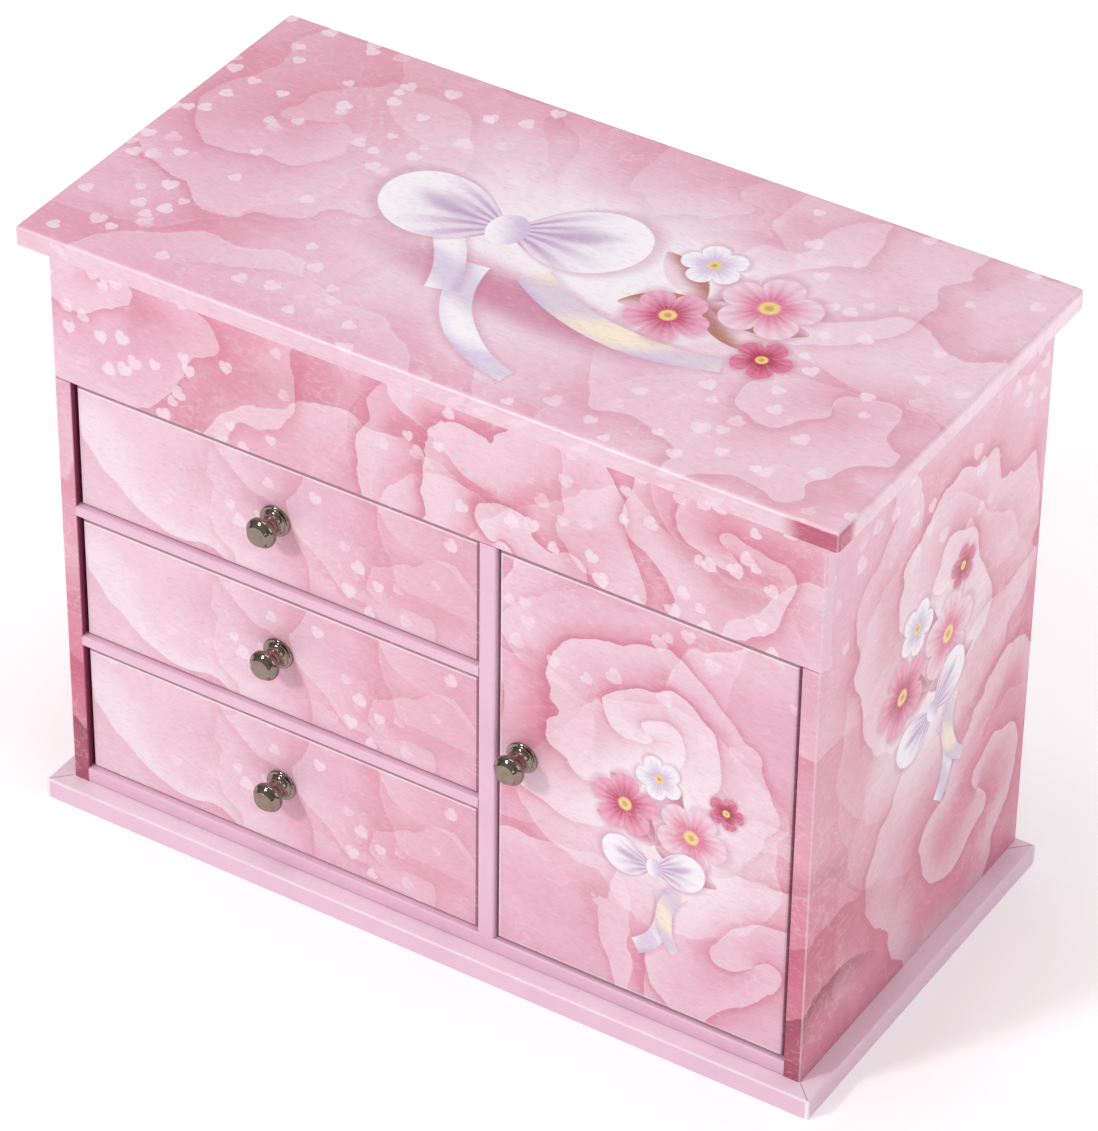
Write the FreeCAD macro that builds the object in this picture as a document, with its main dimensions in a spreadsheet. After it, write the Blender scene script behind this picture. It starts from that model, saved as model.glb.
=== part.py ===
import FreeCAD, Part
import os
import re
import Sketcher

# Musical jewellery chest: lid, three drawers, a door, a lined tray and a wind-up movement
# that turns a dancer. Origin at the middle of the base board's underside, front towards -Y,
# +Z up, millimetres.

SIZES = {
    # carcass
    "body_width": 280.0,
    "body_depth": 142.0,
    "body_height": 214.0,
    "side_thickness": 6.0,
    "back_thickness": 4.0,
    "base_thickness": 7.4,
    "base_side_overhang": 6.8,
    "base_front_overhang": 6.5,
    "base_rear_overhang": 1.0,
    "base_round": 0.8,
    "fascia_height": 51.8,
    "fascia_thickness": 6.0,
    "floor_thickness": 5.6,
    "shelf_thickness": 4.0,
    "upper_opening": 48.4,
    "middle_opening": 48.7,
    "partition_left": 19.9,
    "partition_thickness": 6.1,
    "board_round": 0.8,
    "tray_floor_thickness": 4.0,
    "lining_thickness": 1.0,
    # lid and mirror
    "lid_thickness": 6.8,
    "lid_side_overhang": 7.4,
    "lid_front_overhang": 6.8,
    "lid_rear_overhang": 2.8,
    "lid_round": 1.6,
    "mirror_width": 190.0,
    "mirror_depth": 90.0,
    "mirror_thickness": 2.0,
    "frame_border": 7.0,
    "frame_thickness": 3.4,
    "frame_rebate": 2.0,
    # hinges
    "hinge_spacing": 170.0,
    "hinge_length": 22.0,
    "knuckle_radius": 1.4,
    "knuckle_gap": 0.3,
    "hinge_pin_radius": 0.6,
    "leaf_thickness": 0.8,
    "leaf_reach": 11.0,
    "lid_leaf_reach": 13.0,
    # drawers
    "drawer_gap": 1.0,
    "drawer_recess": 2.2,
    "drawer_front_thickness": 6.0,
    "drawer_length": 118.0,
    "drawer_side_thickness": 4.0,
    "drawer_side_inset": 1.2,
    "drawer_side_drop": 8.0,
    "drawer_bottom_thickness": 3.0,
    "run_clearance": 0.3,
    # door
    "door_gap": 1.1,
    "door_recess": 1.6,
    "door_thickness": 6.0,
    "door_edge_round": 2.0,
    "pivot_inset": 3.0,
    "pivot_radius": 1.0,
    "pivot_depth": 5.0,
    "door_knob_inset": 8.4,
    # knobs
    "knob_flange_radius": 5.6,
    "knob_flange_height": 1.2,
    "knob_cone_radius": 3.9,
    "knob_cone_height": 2.2,
    "knob_neck_radius": 3.2,
    "knob_neck_height": 4.4,
    "knob_head_radius": 5.4,
    "knob_head_start": 6.2,
    "knob_face_radius": 3.6,
    "knob_height": 10.8,
    "knob_rim_round": 1.6,
    "knob_stud_radius": 1.5,
    # tray fittings
    "divider_thickness": 4.0,
    "divider_height": 24.0,
    "divider_right_edge": 28.0,
    "ring_bay_back": 14.0,
    "ring_roll_length": 96.0,
    "ring_roll_width": 11.0,
    "ring_roll_height": 17.0,
    "ring_roll_pitch": 11.6,
    "ring_roll_crown": 1.2,
    # necklace rail
    "rail_height": 9.0,
    "rail_thickness": 5.0,
    "rail_drop": 17.6,
    "hook_wire_radius": 0.9,
    "hook_bend_radius": 3.2,
    "hook_shank": 6.0,
    "hook_pitch": 28.0,
    # movement
    "movement_inset": 46.0,
    "movement_drop": 16.6,
    "bed_thickness": 3.0,
    "bed_left": 22.0,
    "bed_right": 46.0,
    "bed_below": 19.5,
    "bed_above": 13.5,
    "barrel_radius": 12.4,
    "barrel_length": 10.0,
    "barrel_wall": 1.0,
    "barrel_end_gap": 2.0,
    "peg_circle_radius": 10.0,
    "peg_radius": 0.6,
    "peg_length": 1.8,
    "peg_count": 18,
    "pinion_teeth": 6,
    "pinion_addendum": 0.65,
    "pinion_dedendum": 1.2,
    "pinion_tooth_width": 0.9,
    "pinion_length": 3.0,
    "arbor_radius": 2.0,
    "fit_clearance": 0.05,
    "spring_strip": 0.35,
    "spring_pitch": 1.3,
    "spring_turns": 4,
    "spring_end_gap": 0.4,
    "key_hole_radius": 3.4,
    "key_shank_radius": 3.0,
    "key_shank_length": 9.0,
    "key_wing_span": 22.0,
    "key_wing_height": 13.0,
    "key_wing_thickness": 2.0,
    "key_eye_radius": 2.6,
    "key_stand_off": 2.0,
    "cylinder_radius": 6.0,
    "cylinder_length": 20.0,
    "cylinder_start": 15.6,
    "cylinder_pin_radius": 0.3,
    "cylinder_pin_height": 0.5,
    "cylinder_arbor_radius": 1.0,
    "wheel_module": 0.4,
    "great_wheel_teeth": 40,
    "small_pinion_teeth": 10,
    "governor_wheel_teeth": 30,
    "wheel_thickness": 1.2,
    "wheel_gap": 0.6,
    "plate_thickness": 1.2,
    "thin_arbor_radius": 0.6,
    "fly_radius": 3.6,
    "fly_vane": 0.6,
    "fly_width": 1.4,
    "comb_teeth": 18,
    "comb_thickness": 1.0,
    "comb_root": 5.0,
    "comb_tooth_length": 7.0,
    "comb_slot": 0.4,
    "comb_tip_gap": 0.4,
    "cover_wall": 2.5,
    "cover_depth": 40.0,
    "cover_height": 40.0,
    # dancer and lid stop
    "spindle_radius": 1.25,
    "bush_radius": 3.0,
    "bush_flange": 5.0,
    "bush_flange_height": 0.8,
    "table_radius": 11.0,
    "table_thickness": 2.0,
    "table_gap": 0.6,
    "dancer_leg": 18.0,
    "dancer_foot_radius": 0.6,
    "dancer_hip_radius": 1.5,
    "dancer_torso": 9.5,
    "dancer_waist_radius": 1.35,
    "dancer_chest_radius": 2.2,
    "dancer_neck": 1.8,
    "dancer_neck_radius": 0.75,
    "dancer_head_radius": 2.4,
    "dancer_bun_radius": 1.1,
    "dancer_arm_radius": 0.55,
    "dancer_arm_reach": 5.0,
    "skirt_radius": 10.5,
    "skirt_thickness": 1.6,
    "skirt_droop": 2.2,
    "stop_rod_radius": 0.5,
    "stop_rod_gap": 0.4,
    "stop_rod_y": 41.0,
}

doc = FreeCAD.newDocument("jewellery_box")
sheet = doc.addObject("Spreadsheet::Sheet", "Sizes")
for row, (size_name, size_value) in enumerate(SIZES.items(), 1):
    sheet.set(f"A{row}", size_name)
    sheet.set(f"B{row}", str(size_value))
    sheet.setAlias(f"B{row}", size_name)
doc.recompute()

SHEET_WORD = re.compile(r"[a-z][a-z_]+")
NODES = []


def bound(expression):
    """An expression on the sheet's aliases, with the sheet's name before each alias."""

    def with_sheet(match):
        word = match.group()
        return "Sizes." + word if word in SIZES else word

    return SHEET_WORD.sub(with_sheet, str(expression))


def size(expression):
    """The present value of an expression on the sheet's aliases."""
    return float(sheet.evalExpression(bound(expression)))


def node(label, item):
    """Name a finished sub-part, so that it is written to its own file."""
    item.Label = label
    NODES.append(item)
    return item


def place(item, x=0, y=0, z=0):
    """Bind the place of an item to three expressions."""
    for axis, value in (("x", x), ("y", y), ("z", z)):
        item.setExpression(f"Placement.Base.{axis}", bound(value))
    return item


def box(name, x, y, z):
    """A board between two limits on each axis."""
    part = doc.addObject("Part::Box", name)
    for (low, high), side in zip((x, y, z), ("Length", "Width", "Height")):
        part.setExpression(side, bound(f"({high}) - ({low})"))
    return place(part, x[0], y[0], z[0])


X_AXIS = FreeCAD.Vector(1, 0, 0)
Y_AXIS = FreeCAD.Vector(0, 1, 0)
Z_AXIS = FreeCAD.Vector(0, 0, 1)
AXIS_TURN = {
    "x": FreeCAD.Rotation(Y_AXIS, 90),
    "y": FreeCAD.Rotation(X_AXIS, -90),
    "-y": FreeCAD.Rotation(X_AXIS, 90),
    "z": FreeCAD.Rotation(),
}


def turn(item, axis):
    """Point the item's own Z along an axis of the chest."""
    item.Placement = FreeCAD.Placement(FreeCAD.Vector(), AXIS_TURN[axis])
    return item


def rod(name, radius, length, axis, x, y, z):
    """A round bar that starts at a point and runs along an axis."""
    part = doc.addObject("Part::Cylinder", name)
    part.setExpression("Radius", bound(radius))
    part.setExpression("Height", bound(length))
    return place(turn(part, axis), x, y, z)


def prism(name, sides, radius, length, axis, x, y, z):
    """A bar with flat sides that starts at a point and runs along an axis."""
    part = doc.addObject("Part::Prism", name)
    part.Polygon = sides
    part.setExpression("Circumradius", bound(radius))
    part.setExpression("Height", bound(length))
    return place(turn(part, axis), x, y, z)


def cone(name, radius_low, radius_high, length, axis, x, y, z):
    """A tapered bar that starts at a point and runs along an axis."""
    part = doc.addObject("Part::Cone", name)
    part.setExpression("Radius1", bound(radius_low))
    part.setExpression("Radius2", bound(radius_high))
    part.setExpression("Height", bound(length))
    return place(turn(part, axis), x, y, z)


def ball(name, radius, x, y, z):
    part = doc.addObject("Part::Sphere", name)
    part.setExpression("Radius", bound(radius))
    return place(part, x, y, z)


def cut(name, base, *tools):
    """The base less the tools."""
    for count, tool in enumerate(tools):
        part = doc.addObject("Part::Cut", f"{name}_cut{count}")
        part.Base = base
        part.Tool = tool
        base = part
    return base


def fuse(name, *parts):
    """Several shapes joined into one solid."""
    part = doc.addObject("Part::MultiFuse", name)
    part.Shapes = list(parts)
    part.Refine = True
    return part


def group(name, *parts):
    """Separate like solids kept together."""
    part = doc.addObject("Part::Compound", name)
    part.Links = list(parts)
    return part


def origin_item(body, role):
    """A plane or an axis of the body's own origin."""
    return next(item for item in body.Origin.OriginFeatures if item.Role == role)


def bind_point(sketch, edge, corner):
    """Tie the start of a sketch edge to two expressions measured from the sketch's origin."""
    for kind, axis_edge, value in (("DistanceX", -2, corner[0]), ("DistanceY", -1, corner[1])):
        if str(value) == "0":
            sketch.addConstraint(Sketcher.Constraint("PointOnObject", edge, 1, axis_edge))
            continue
        index = sketch.addConstraint(Sketcher.Constraint(kind, -1, 1, edge, 1, size(value)))
        sketch.setExpression(f"Constraints[{index}]", bound(value))


def outline(body, name, corners, role="XY_Plane"):
    """A closed outline of straight edges whose corners are pairs of expressions."""
    sketch = body.newObject("Sketcher::SketchObject", name)
    sketch.AttachmentSupport = [(origin_item(body, role), "")]
    sketch.MapMode = "FlatFace"
    points = [FreeCAD.Vector(size(x), size(y), 0) for x, y in corners]
    count = len(points)
    for edge in range(count):
        sketch.addGeometry(Part.LineSegment(points[edge], points[(edge + 1) % count]))
    for edge in range(count):
        sketch.addConstraint(Sketcher.Constraint("Coincident", edge, 2, (edge + 1) % count, 1))
    for edge, corner in enumerate(corners):
        bind_point(sketch, edge, corner)
    return sketch


def padded_body(name, corners, length):
    """An outline in the body's own XY plane, raised along its Z."""
    body = doc.addObject("PartDesign::Body", name)
    sketch = outline(body, f"{name}_outline", corners)
    pad = body.newObject("PartDesign::Pad", f"{name}_pad")
    pad.Profile = sketch
    pad.setExpression("Length", bound(length))
    return body


def turned_body(name, corners):
    """A half section of radius and height pairs, turned about the body's own Z."""
    body = doc.addObject("PartDesign::Body", name)
    sketch = outline(body, f"{name}_section", corners, "XZ_Plane")
    turned = body.newObject("PartDesign::Revolution", f"{name}_turned")
    turned.Profile = sketch
    turned.ReferenceAxis = (sketch, ["V_Axis"])
    turned.Angle = 360
    return body


def round_edges(body, radius, wanted):
    """Round the edges of a body's last feature that a test picks out."""
    doc.recompute()
    base = body.Tip
    names = [f"Edge{i}" for i, edge in enumerate(base.Shape.Edges, 1) if wanted(edge)]
    fillet = body.newObject("PartDesign::Fillet", f"{body.Name}_round")
    fillet.Base = (base, names)
    fillet.setExpression("Radius", bound(radius))
    return body


def board_body(name, x, y, z):
    """A board as a body, so that its edges can be rounded."""
    body = doc.addObject("PartDesign::Body", name)
    block = body.newObject("PartDesign::AdditiveBox", f"{name}_block")
    for (low, high), side in zip((x, y, z), ("Length", "Width", "Height")):
        block.setExpression(side, bound(f"({high}) - ({low})"))
    return place(body, x[0], y[0], z[0])


def edge_middle(edge):
    return edge.valueAt((edge.FirstParameter + edge.LastParameter) / 2)


def is_level(edge, height):
    """True for an edge that lies level at a height of the body's own frame."""
    box_of_edge = edge.BoundBox
    return box_of_edge.ZLength < 1e-6 and abs(box_of_edge.ZMin - height) < 1e-6


def toothed_wheel(name, teeth, root, tip, root_width, tip_width, length):
    """A disc with straight-flanked teeth in a polar pattern, on the body's own Z."""
    body = doc.addObject("PartDesign::Body", name)
    disc = body.newObject("PartDesign::AdditiveCylinder", f"{name}_disc")
    disc.setExpression("Radius", bound(root))
    disc.setExpression("Height", bound(length))
    corners = [
        (f"({root}) * 0.8", f"-({root_width}) / 2"),
        (tip, f"-({tip_width}) / 2"),
        (tip, f"({tip_width}) / 2"),
        (f"({root}) * 0.8", f"({root_width}) / 2"),
    ]
    sketch = outline(body, f"{name}_tooth_outline", corners)
    tooth = body.newObject("PartDesign::Pad", f"{name}_tooth")
    tooth.Profile = sketch
    tooth.setExpression("Length", bound(length))
    doc.recompute()
    pattern = body.newObject("PartDesign::PolarPattern", f"{name}_teeth")
    pattern.Originals = [tooth]
    pattern.Axis = (origin_item(body, "Z_Axis"), [""])
    pattern.Angle = 360
    pattern.setExpression("Occurrences", bound(teeth))
    body.Tip = pattern
    return body


# Levels and faces that several pieces share
HALF_WIDTH = "body_width / 2"
INNER_X = "(body_width / 2 - side_thickness)"
FRONT = "-body_depth / 2"
REAR = "body_depth / 2"
BACK_FACE = "(body_depth / 2 - back_thickness)"
BASE_TOP = "base_thickness"
BODY_TOP = "(base_thickness + body_height)"
FASCIA_BOTTOM = "(base_thickness + body_height - fascia_height)"
FLOOR_TOP = "(base_thickness + floor_thickness)"
TRAY_TOP = f"({FASCIA_BOTTOM} + tray_floor_thickness)"
LINING_TOP = f"({TRAY_TOP} + lining_thickness)"
FASCIA_BACK = "(-body_depth / 2 + fascia_thickness)"
PARTITION_RIGHT = "(partition_left + partition_thickness)"
UPPER_SHELF = f"({FASCIA_BOTTOM} - upper_opening - shelf_thickness)"
LOWER_SHELF = f"({UPPER_SHELF} - middle_opening - shelf_thickness)"

# Door pivot, shared by the door, its pins and the boards that hold them
DOOR_FRONT = "(-body_depth / 2 + door_recess)"
DOOR_RIGHT = f"({INNER_X} - door_gap)"
PIVOT_X = f"({DOOR_RIGHT} - pivot_inset)"
PIVOT_Y = f"({DOOR_FRONT} + door_thickness / 2)"

# Hinge axis of the lid, behind the back panel and under the lid's rear overhang
HINGE_Y = f"({REAR} + knuckle_radius)"
HINGE_Z = f"({BODY_TOP} - knuckle_radius - knuckle_gap)"
HINGE_XS = ("(-hinge_spacing / 2)", "(hinge_spacing / 2)")

# Movement: the barrel's axis runs along Y, the cylinder's along X, the dancer's along Z
MOVEMENT_X = f"({PARTITION_RIGHT} + movement_inset)"
MOVEMENT_Z = f"({FASCIA_BOTTOM} - movement_drop)"
BED_FRONT = f"({BACK_FACE} - bed_thickness)"
BARREL_BACK = f"({BED_FRONT} - barrel_end_gap)"
BARREL_FRONT = f"({BARREL_BACK} - barrel_length)"
PINION_PITCH = "(peg_circle_radius * pinion_teeth / peg_count)"
PINION_TIP = f"({PINION_PITCH} + pinion_addendum)"
PINION_ROOT = f"({PINION_PITCH} - pinion_dedendum)"
MESH_Y = f"({BARREL_FRONT} - peg_length / 2 - {PINION_PITCH})"
CYLINDER_LEFT = f"({MOVEMENT_X} + cylinder_start)"
CYLINDER_RIGHT = f"({CYLINDER_LEFT} + cylinder_length)"
INNER_PLATE = f"({CYLINDER_RIGHT} + wheel_gap)"
GREAT_WHEEL_X = f"({INNER_PLATE} + plate_thickness + wheel_gap)"
GOVERNOR_WHEEL_X = f"({GREAT_WHEEL_X} + wheel_thickness + wheel_gap)"
FLY_X = f"({GOVERNOR_WHEEL_X} + wheel_thickness + wheel_gap)"
END_PLATE = f"({FLY_X} + fly_width + wheel_gap)"
GOVERNOR_Y = f"({MESH_Y} - wheel_module * (great_wheel_teeth + small_pinion_teeth) / 2)"
FLY_Z = f"({MOVEMENT_Z} - wheel_module * (governor_wheel_teeth + small_pinion_teeth) / 2)"
COVER_FRONT = f"({BACK_FACE} - cover_depth)"
COVER_BOTTOM = f"({FASCIA_BOTTOM} - cover_height)"
RAIL_TOP = f"({COVER_BOTTOM} - rail_drop)"
STOP_ROD_X = f"({FLY_X} + fly_width / 2)"
TABLE_BOTTOM = f"({LINING_TOP} + table_gap)"
TABLE_TOP = f"({TABLE_BOTTOM} + table_thickness)"
MIRROR_FACE = f"({BODY_TOP} - frame_thickness)"

# Degrees from one note's pin on the cylinder to the next column's
NOTE_STEP = 97

DRAWERS = {
    "upper": (f"({UPPER_SHELF} + shelf_thickness)", FASCIA_BOTTOM),
    "middle": (f"({LOWER_SHELF} + shelf_thickness)", UPPER_SHELF),
    "lower": (FLOOR_TOP, LOWER_SHELF),
}


def knob(label, x, y, z, depth):
    """A turned knob: flange, waisted neck, round-rimmed head and a stud that goes through the front."""
    section = [
        ("0", f"-{depth}"),
        ("knob_stud_radius", f"-{depth}"),
        ("knob_stud_radius", "0"),
        ("knob_flange_radius", "0"),
        ("knob_flange_radius", "knob_flange_height"),
        ("knob_cone_radius", "knob_cone_height"),
        ("knob_neck_radius", "knob_neck_height"),
        ("knob_head_radius", "knob_head_start"),
        ("knob_head_radius", "knob_height - knob_rim_round"),
        ("knob_face_radius", "knob_height"),
        ("0", "knob_height"),
    ]
    body = turned_body(label, section)
    head_low = size("knob_head_start")
    head_high = size("knob_height - knob_rim_round")
    rim = size("knob_head_radius")

    def on_rim(edge):
        radius = max(edge.BoundBox.XLength, edge.BoundBox.YLength) / 2
        level = edge.BoundBox.ZMin
        near = min(abs(level - head_low), abs(level - head_high)) < 1e-6
        return edge.BoundBox.ZLength < 1e-6 and abs(radius - rim) < 1e-6 and near

    round_edges(body, "knob_rim_round / 2", on_rim)
    return node(label, place(turn(body, "-y"), x, y, z))


def stud_hole(name, x, y, z, depth):
    return rod(name, "knob_stud_radius + fit_clearance", depth, "y", x, y, z)


def carcass():
    """The glued boards of the chest."""
    base = board_body(
        "base_board",
        (f"-{HALF_WIDTH} - base_side_overhang", f"{HALF_WIDTH} + base_side_overhang"),
        (f"{FRONT} - base_front_overhang", f"{REAR} + base_rear_overhang"),
        ("0", BASE_TOP),
    )
    top = size(BASE_TOP)
    node("base_board", round_edges(base, "base_round", lambda edge: is_level(edge, top)))
    side_panel("left", (f"-{HALF_WIDTH}", f"-{INNER_X}"), 0.0)
    side_panel("right", (INNER_X, HALF_WIDTH), size("side_thickness"))

    pin_reach = "(pivot_depth + fit_clearance)"
    pin_bore = "pivot_radius + fit_clearance"
    outer = (f"-{HALF_WIDTH}", HALF_WIDTH)
    fascia = board_body("fascia_board", outer, (FRONT, FASCIA_BACK), (FASCIA_BOTTOM, BODY_TOP))
    round_edges(fascia, "board_round", is_on_front)
    upper_bore = rod("upper_pin_bore", pin_bore, pin_reach, "z", PIVOT_X, PIVOT_Y, FASCIA_BOTTOM)
    node("front_fascia", cut("front_fascia", fascia, upper_bore))

    inner = (f"-{INNER_X}", INNER_X)
    depth = (FRONT, BACK_FACE)
    floor = board_body("floor_board", inner, depth, (BASE_TOP, FLOOR_TOP))
    round_edges(floor, "board_round", is_front_edge)
    bore_start = f"{FLOOR_TOP} - {pin_reach}"
    lower_bore = rod("lower_pin_bore", pin_bore, pin_reach, "z", PIVOT_X, PIVOT_Y, bore_start)
    node("floor_panel", cut("floor_panel", floor, lower_bore))

    back = box("back_board", inner, (BACK_FACE, REAR), (BASE_TOP, BODY_TOP))
    key_hole = rod("key_hole", "key_hole_radius", "back_thickness", "y", MOVEMENT_X, BACK_FACE, MOVEMENT_Z)
    node("back_panel", cut("back_panel", back, key_hole))

    stile = ("partition_left", PARTITION_RIGHT)
    partition = board_body("partition_panel", stile, depth, (FLOOR_TOP, FASCIA_BOTTOM))

    def upright_front(edge):
        return is_on_front(edge) and edge.BoundBox.ZLength > 1

    node("partition_panel", round_edges(partition, "board_round", upright_front))

    for shelf, low in (("upper", UPPER_SHELF), ("lower", LOWER_SHELF)):
        reach = (f"-{INNER_X}", "partition_left")
        board = board_body(f"{shelf}_drawer_shelf", reach, depth, (low, f"{low} + shelf_thickness"))
        node(f"{shelf}_drawer_shelf", round_edges(board, "board_round", is_front_edge))

    floor_of_tray = box("tray_board", inner, (FASCIA_BACK, BACK_FACE), (FASCIA_BOTTOM, TRAY_TOP))
    holes = [
        rod(f"{name}_hole", "bush_radius", "tray_floor_thickness", "z", x, y, FASCIA_BOTTOM)
        for name, x, y in (("bush", MOVEMENT_X, MESH_Y), ("rod", STOP_ROD_X, "stop_rod_y"))
    ]
    node("tray_floor", cut("tray_floor", floor_of_tray, *holes))

    pins = []
    for name, low in (("upper", f"{FASCIA_BOTTOM} - pivot_depth"), ("lower", f"{FLOOR_TOP} - pivot_depth")):
        pins.append(rod(f"{name}_pin", "pivot_radius", "2 * pivot_depth", "z", PIVOT_X, PIVOT_Y, low))
    node("door_pivot_pins", group("door_pivot_pins", *pins))


def side_panel(side, reach, outer_face):
    """A side board, notched at the top for the full-width fascia and rounded on its outer corners."""
    panel = board_body(f"{side}_board", reach, (FRONT, REAR), (BASE_TOP, BODY_TOP))

    def outer_corner(edge):
        return edge.BoundBox.ZLength > 1 and abs(edge_middle(edge).x - outer_face) < 1e-6

    round_edges(panel, "board_round", outer_corner)
    notch = box(f"{side}_notch", reach, (FRONT, FASCIA_BACK), (FASCIA_BOTTOM, BODY_TOP))
    node(f"{side}_side_panel", cut(f"{side}_side_panel", panel, notch))


def is_on_front(edge):
    """True for the edges round a board's front face."""
    return edge.BoundBox.YMax < 1e-6


def is_front_edge(edge):
    """True for the two long front edges of a board that lies flat."""
    return is_on_front(edge) and edge.BoundBox.XLength > 1e-6


def tray():
    """Dividers, velvet and ring cushions of the tray under the lid."""
    left = f"-{INNER_X}"
    divider_left = "(divider_right_edge - divider_thickness)"
    bay_back = "(ring_bay_back + divider_thickness)"
    heights = (TRAY_TOP, f"{TRAY_TOP} + divider_height")
    across = (divider_left, "divider_right_edge")
    long_board = box("cross_divider", across, (FASCIA_BACK, BACK_FACE), heights)
    bay_board = box("bay_divider", (left, divider_left), ("ring_bay_back", bay_back), heights)
    node("tray_dividers", group("tray_dividers", long_board, bay_board))

    velvet = (TRAY_TOP, LINING_TOP)
    ring_bay = box("ring_bay_velvet", (left, divider_left), (FASCIA_BACK, "ring_bay_back"), velvet)
    rear_bay = box("rear_bay_velvet", (left, divider_left), (bay_back, BACK_FACE), velvet)
    stage = box("stage_velvet", ("divider_right_edge", INNER_X), (FASCIA_BACK, BACK_FACE), velvet)
    flange = "bush_flange + run_clearance"
    holes = [
        rod("stage_hole", flange, "lining_thickness", "z", MOVEMENT_X, MESH_Y, TRAY_TOP),
        rod("stage_rod_hole", flange, "lining_thickness", "z", STOP_ROD_X, "stop_rod_y", TRAY_TOP),
    ]
    node("tray_lining", group("tray_lining", ring_bay, rear_bay, cut("stage_lining", stage, *holes)))

    half = "(ring_roll_width / 2)"
    shoulder = "(ring_roll_height - ring_roll_width / 2)"
    section = [
        (f"-{half} + ring_roll_crown", "0"),
        (f"{half} - ring_roll_crown", "0"),
        (half, f"{shoulder} / 2"),
        (half, shoulder),
        (f"{half} / 2", f"{shoulder} + {half} * 0.87"),
        ("0", f"{shoulder} + {half}"),
        (f"-{half} / 2", f"{shoulder} + {half} * 0.87"),
        (f"-{half}", shoulder),
        (f"-{half}", f"{shoulder} / 2"),
    ]
    first = "(-body_depth / 2 + fascia_thickness + run_clearance + ring_roll_width / 2)"
    room = size(f"ring_bay_back - ({FASCIA_BACK}) - 2 * run_clearance - ring_roll_width")
    rolls = []
    for count in range(int(room // size("ring_roll_pitch")) + 1):
        roll = padded_body(f"ring_roll{count}", section, "ring_roll_length")
        roll.Placement = FreeCAD.Placement(FreeCAD.Vector(), FreeCAD.Rotation(Y_AXIS, Z_AXIS, X_AXIS))
        place(roll, f"{left} + run_clearance", f"{first} + {count} * ring_roll_pitch", LINING_TOP)
        rolls.append(roll)
    node("ring_cushion_rolls", group("ring_cushion_rolls", *rolls))


def lid():
    """The lid board with its mirror and the half of each hinge that lifts with it."""
    board = board_body(
        "lid_blank",
        (f"-{HALF_WIDTH} - lid_side_overhang", f"{HALF_WIDTH} + lid_side_overhang"),
        (f"{FRONT} - lid_front_overhang", f"{REAR} + lid_rear_overhang"),
        (BODY_TOP, f"{BODY_TOP} + lid_thickness"),
    )
    top = size("lid_thickness")

    def rounded(edge):
        return is_level(edge, top) or edge.BoundBox.ZLength > top / 2

    round_edges(board, "lid_round", rounded)
    mortises = [
        box(
            f"mortise{count}",
            (f"{x} - hinge_length / 2", f"{x} + hinge_length / 2"),
            (f"{REAR} - lid_leaf_reach", f"{REAR} + lid_rear_overhang"),
            (BODY_TOP, f"{BODY_TOP} + leaf_thickness"),
        )
        for count, x in enumerate(HINGE_XS)
    ]
    node("lid_board", cut("lid_board_mortised", board, *mortises))

    glass = (MIRROR_FACE + " + frame_rebate / 2", f"{MIRROR_FACE} + frame_rebate / 2 + mirror_thickness")
    across = ("-mirror_width / 2", "mirror_width / 2")
    along = ("-mirror_depth / 2", "mirror_depth / 2")
    node("lid_mirror", box("lid_mirror", across, along, glass))
    outer = box(
        "frame_outer",
        ("-mirror_width / 2 - frame_border", "mirror_width / 2 + frame_border"),
        ("-mirror_depth / 2 - frame_border", "mirror_depth / 2 + frame_border"),
        (MIRROR_FACE, BODY_TOP),
    )
    sight = box(
        "frame_sight",
        ("-mirror_width / 2 + frame_rebate", "mirror_width / 2 - frame_rebate"),
        ("-mirror_depth / 2 + frame_rebate", "mirror_depth / 2 - frame_rebate"),
        (MIRROR_FACE, BODY_TOP),
    )
    rebate = box("frame_seat", across, along, (glass[0], BODY_TOP))
    node("mirror_frame", cut("mirror_frame", outer, sight, rebate))


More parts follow.
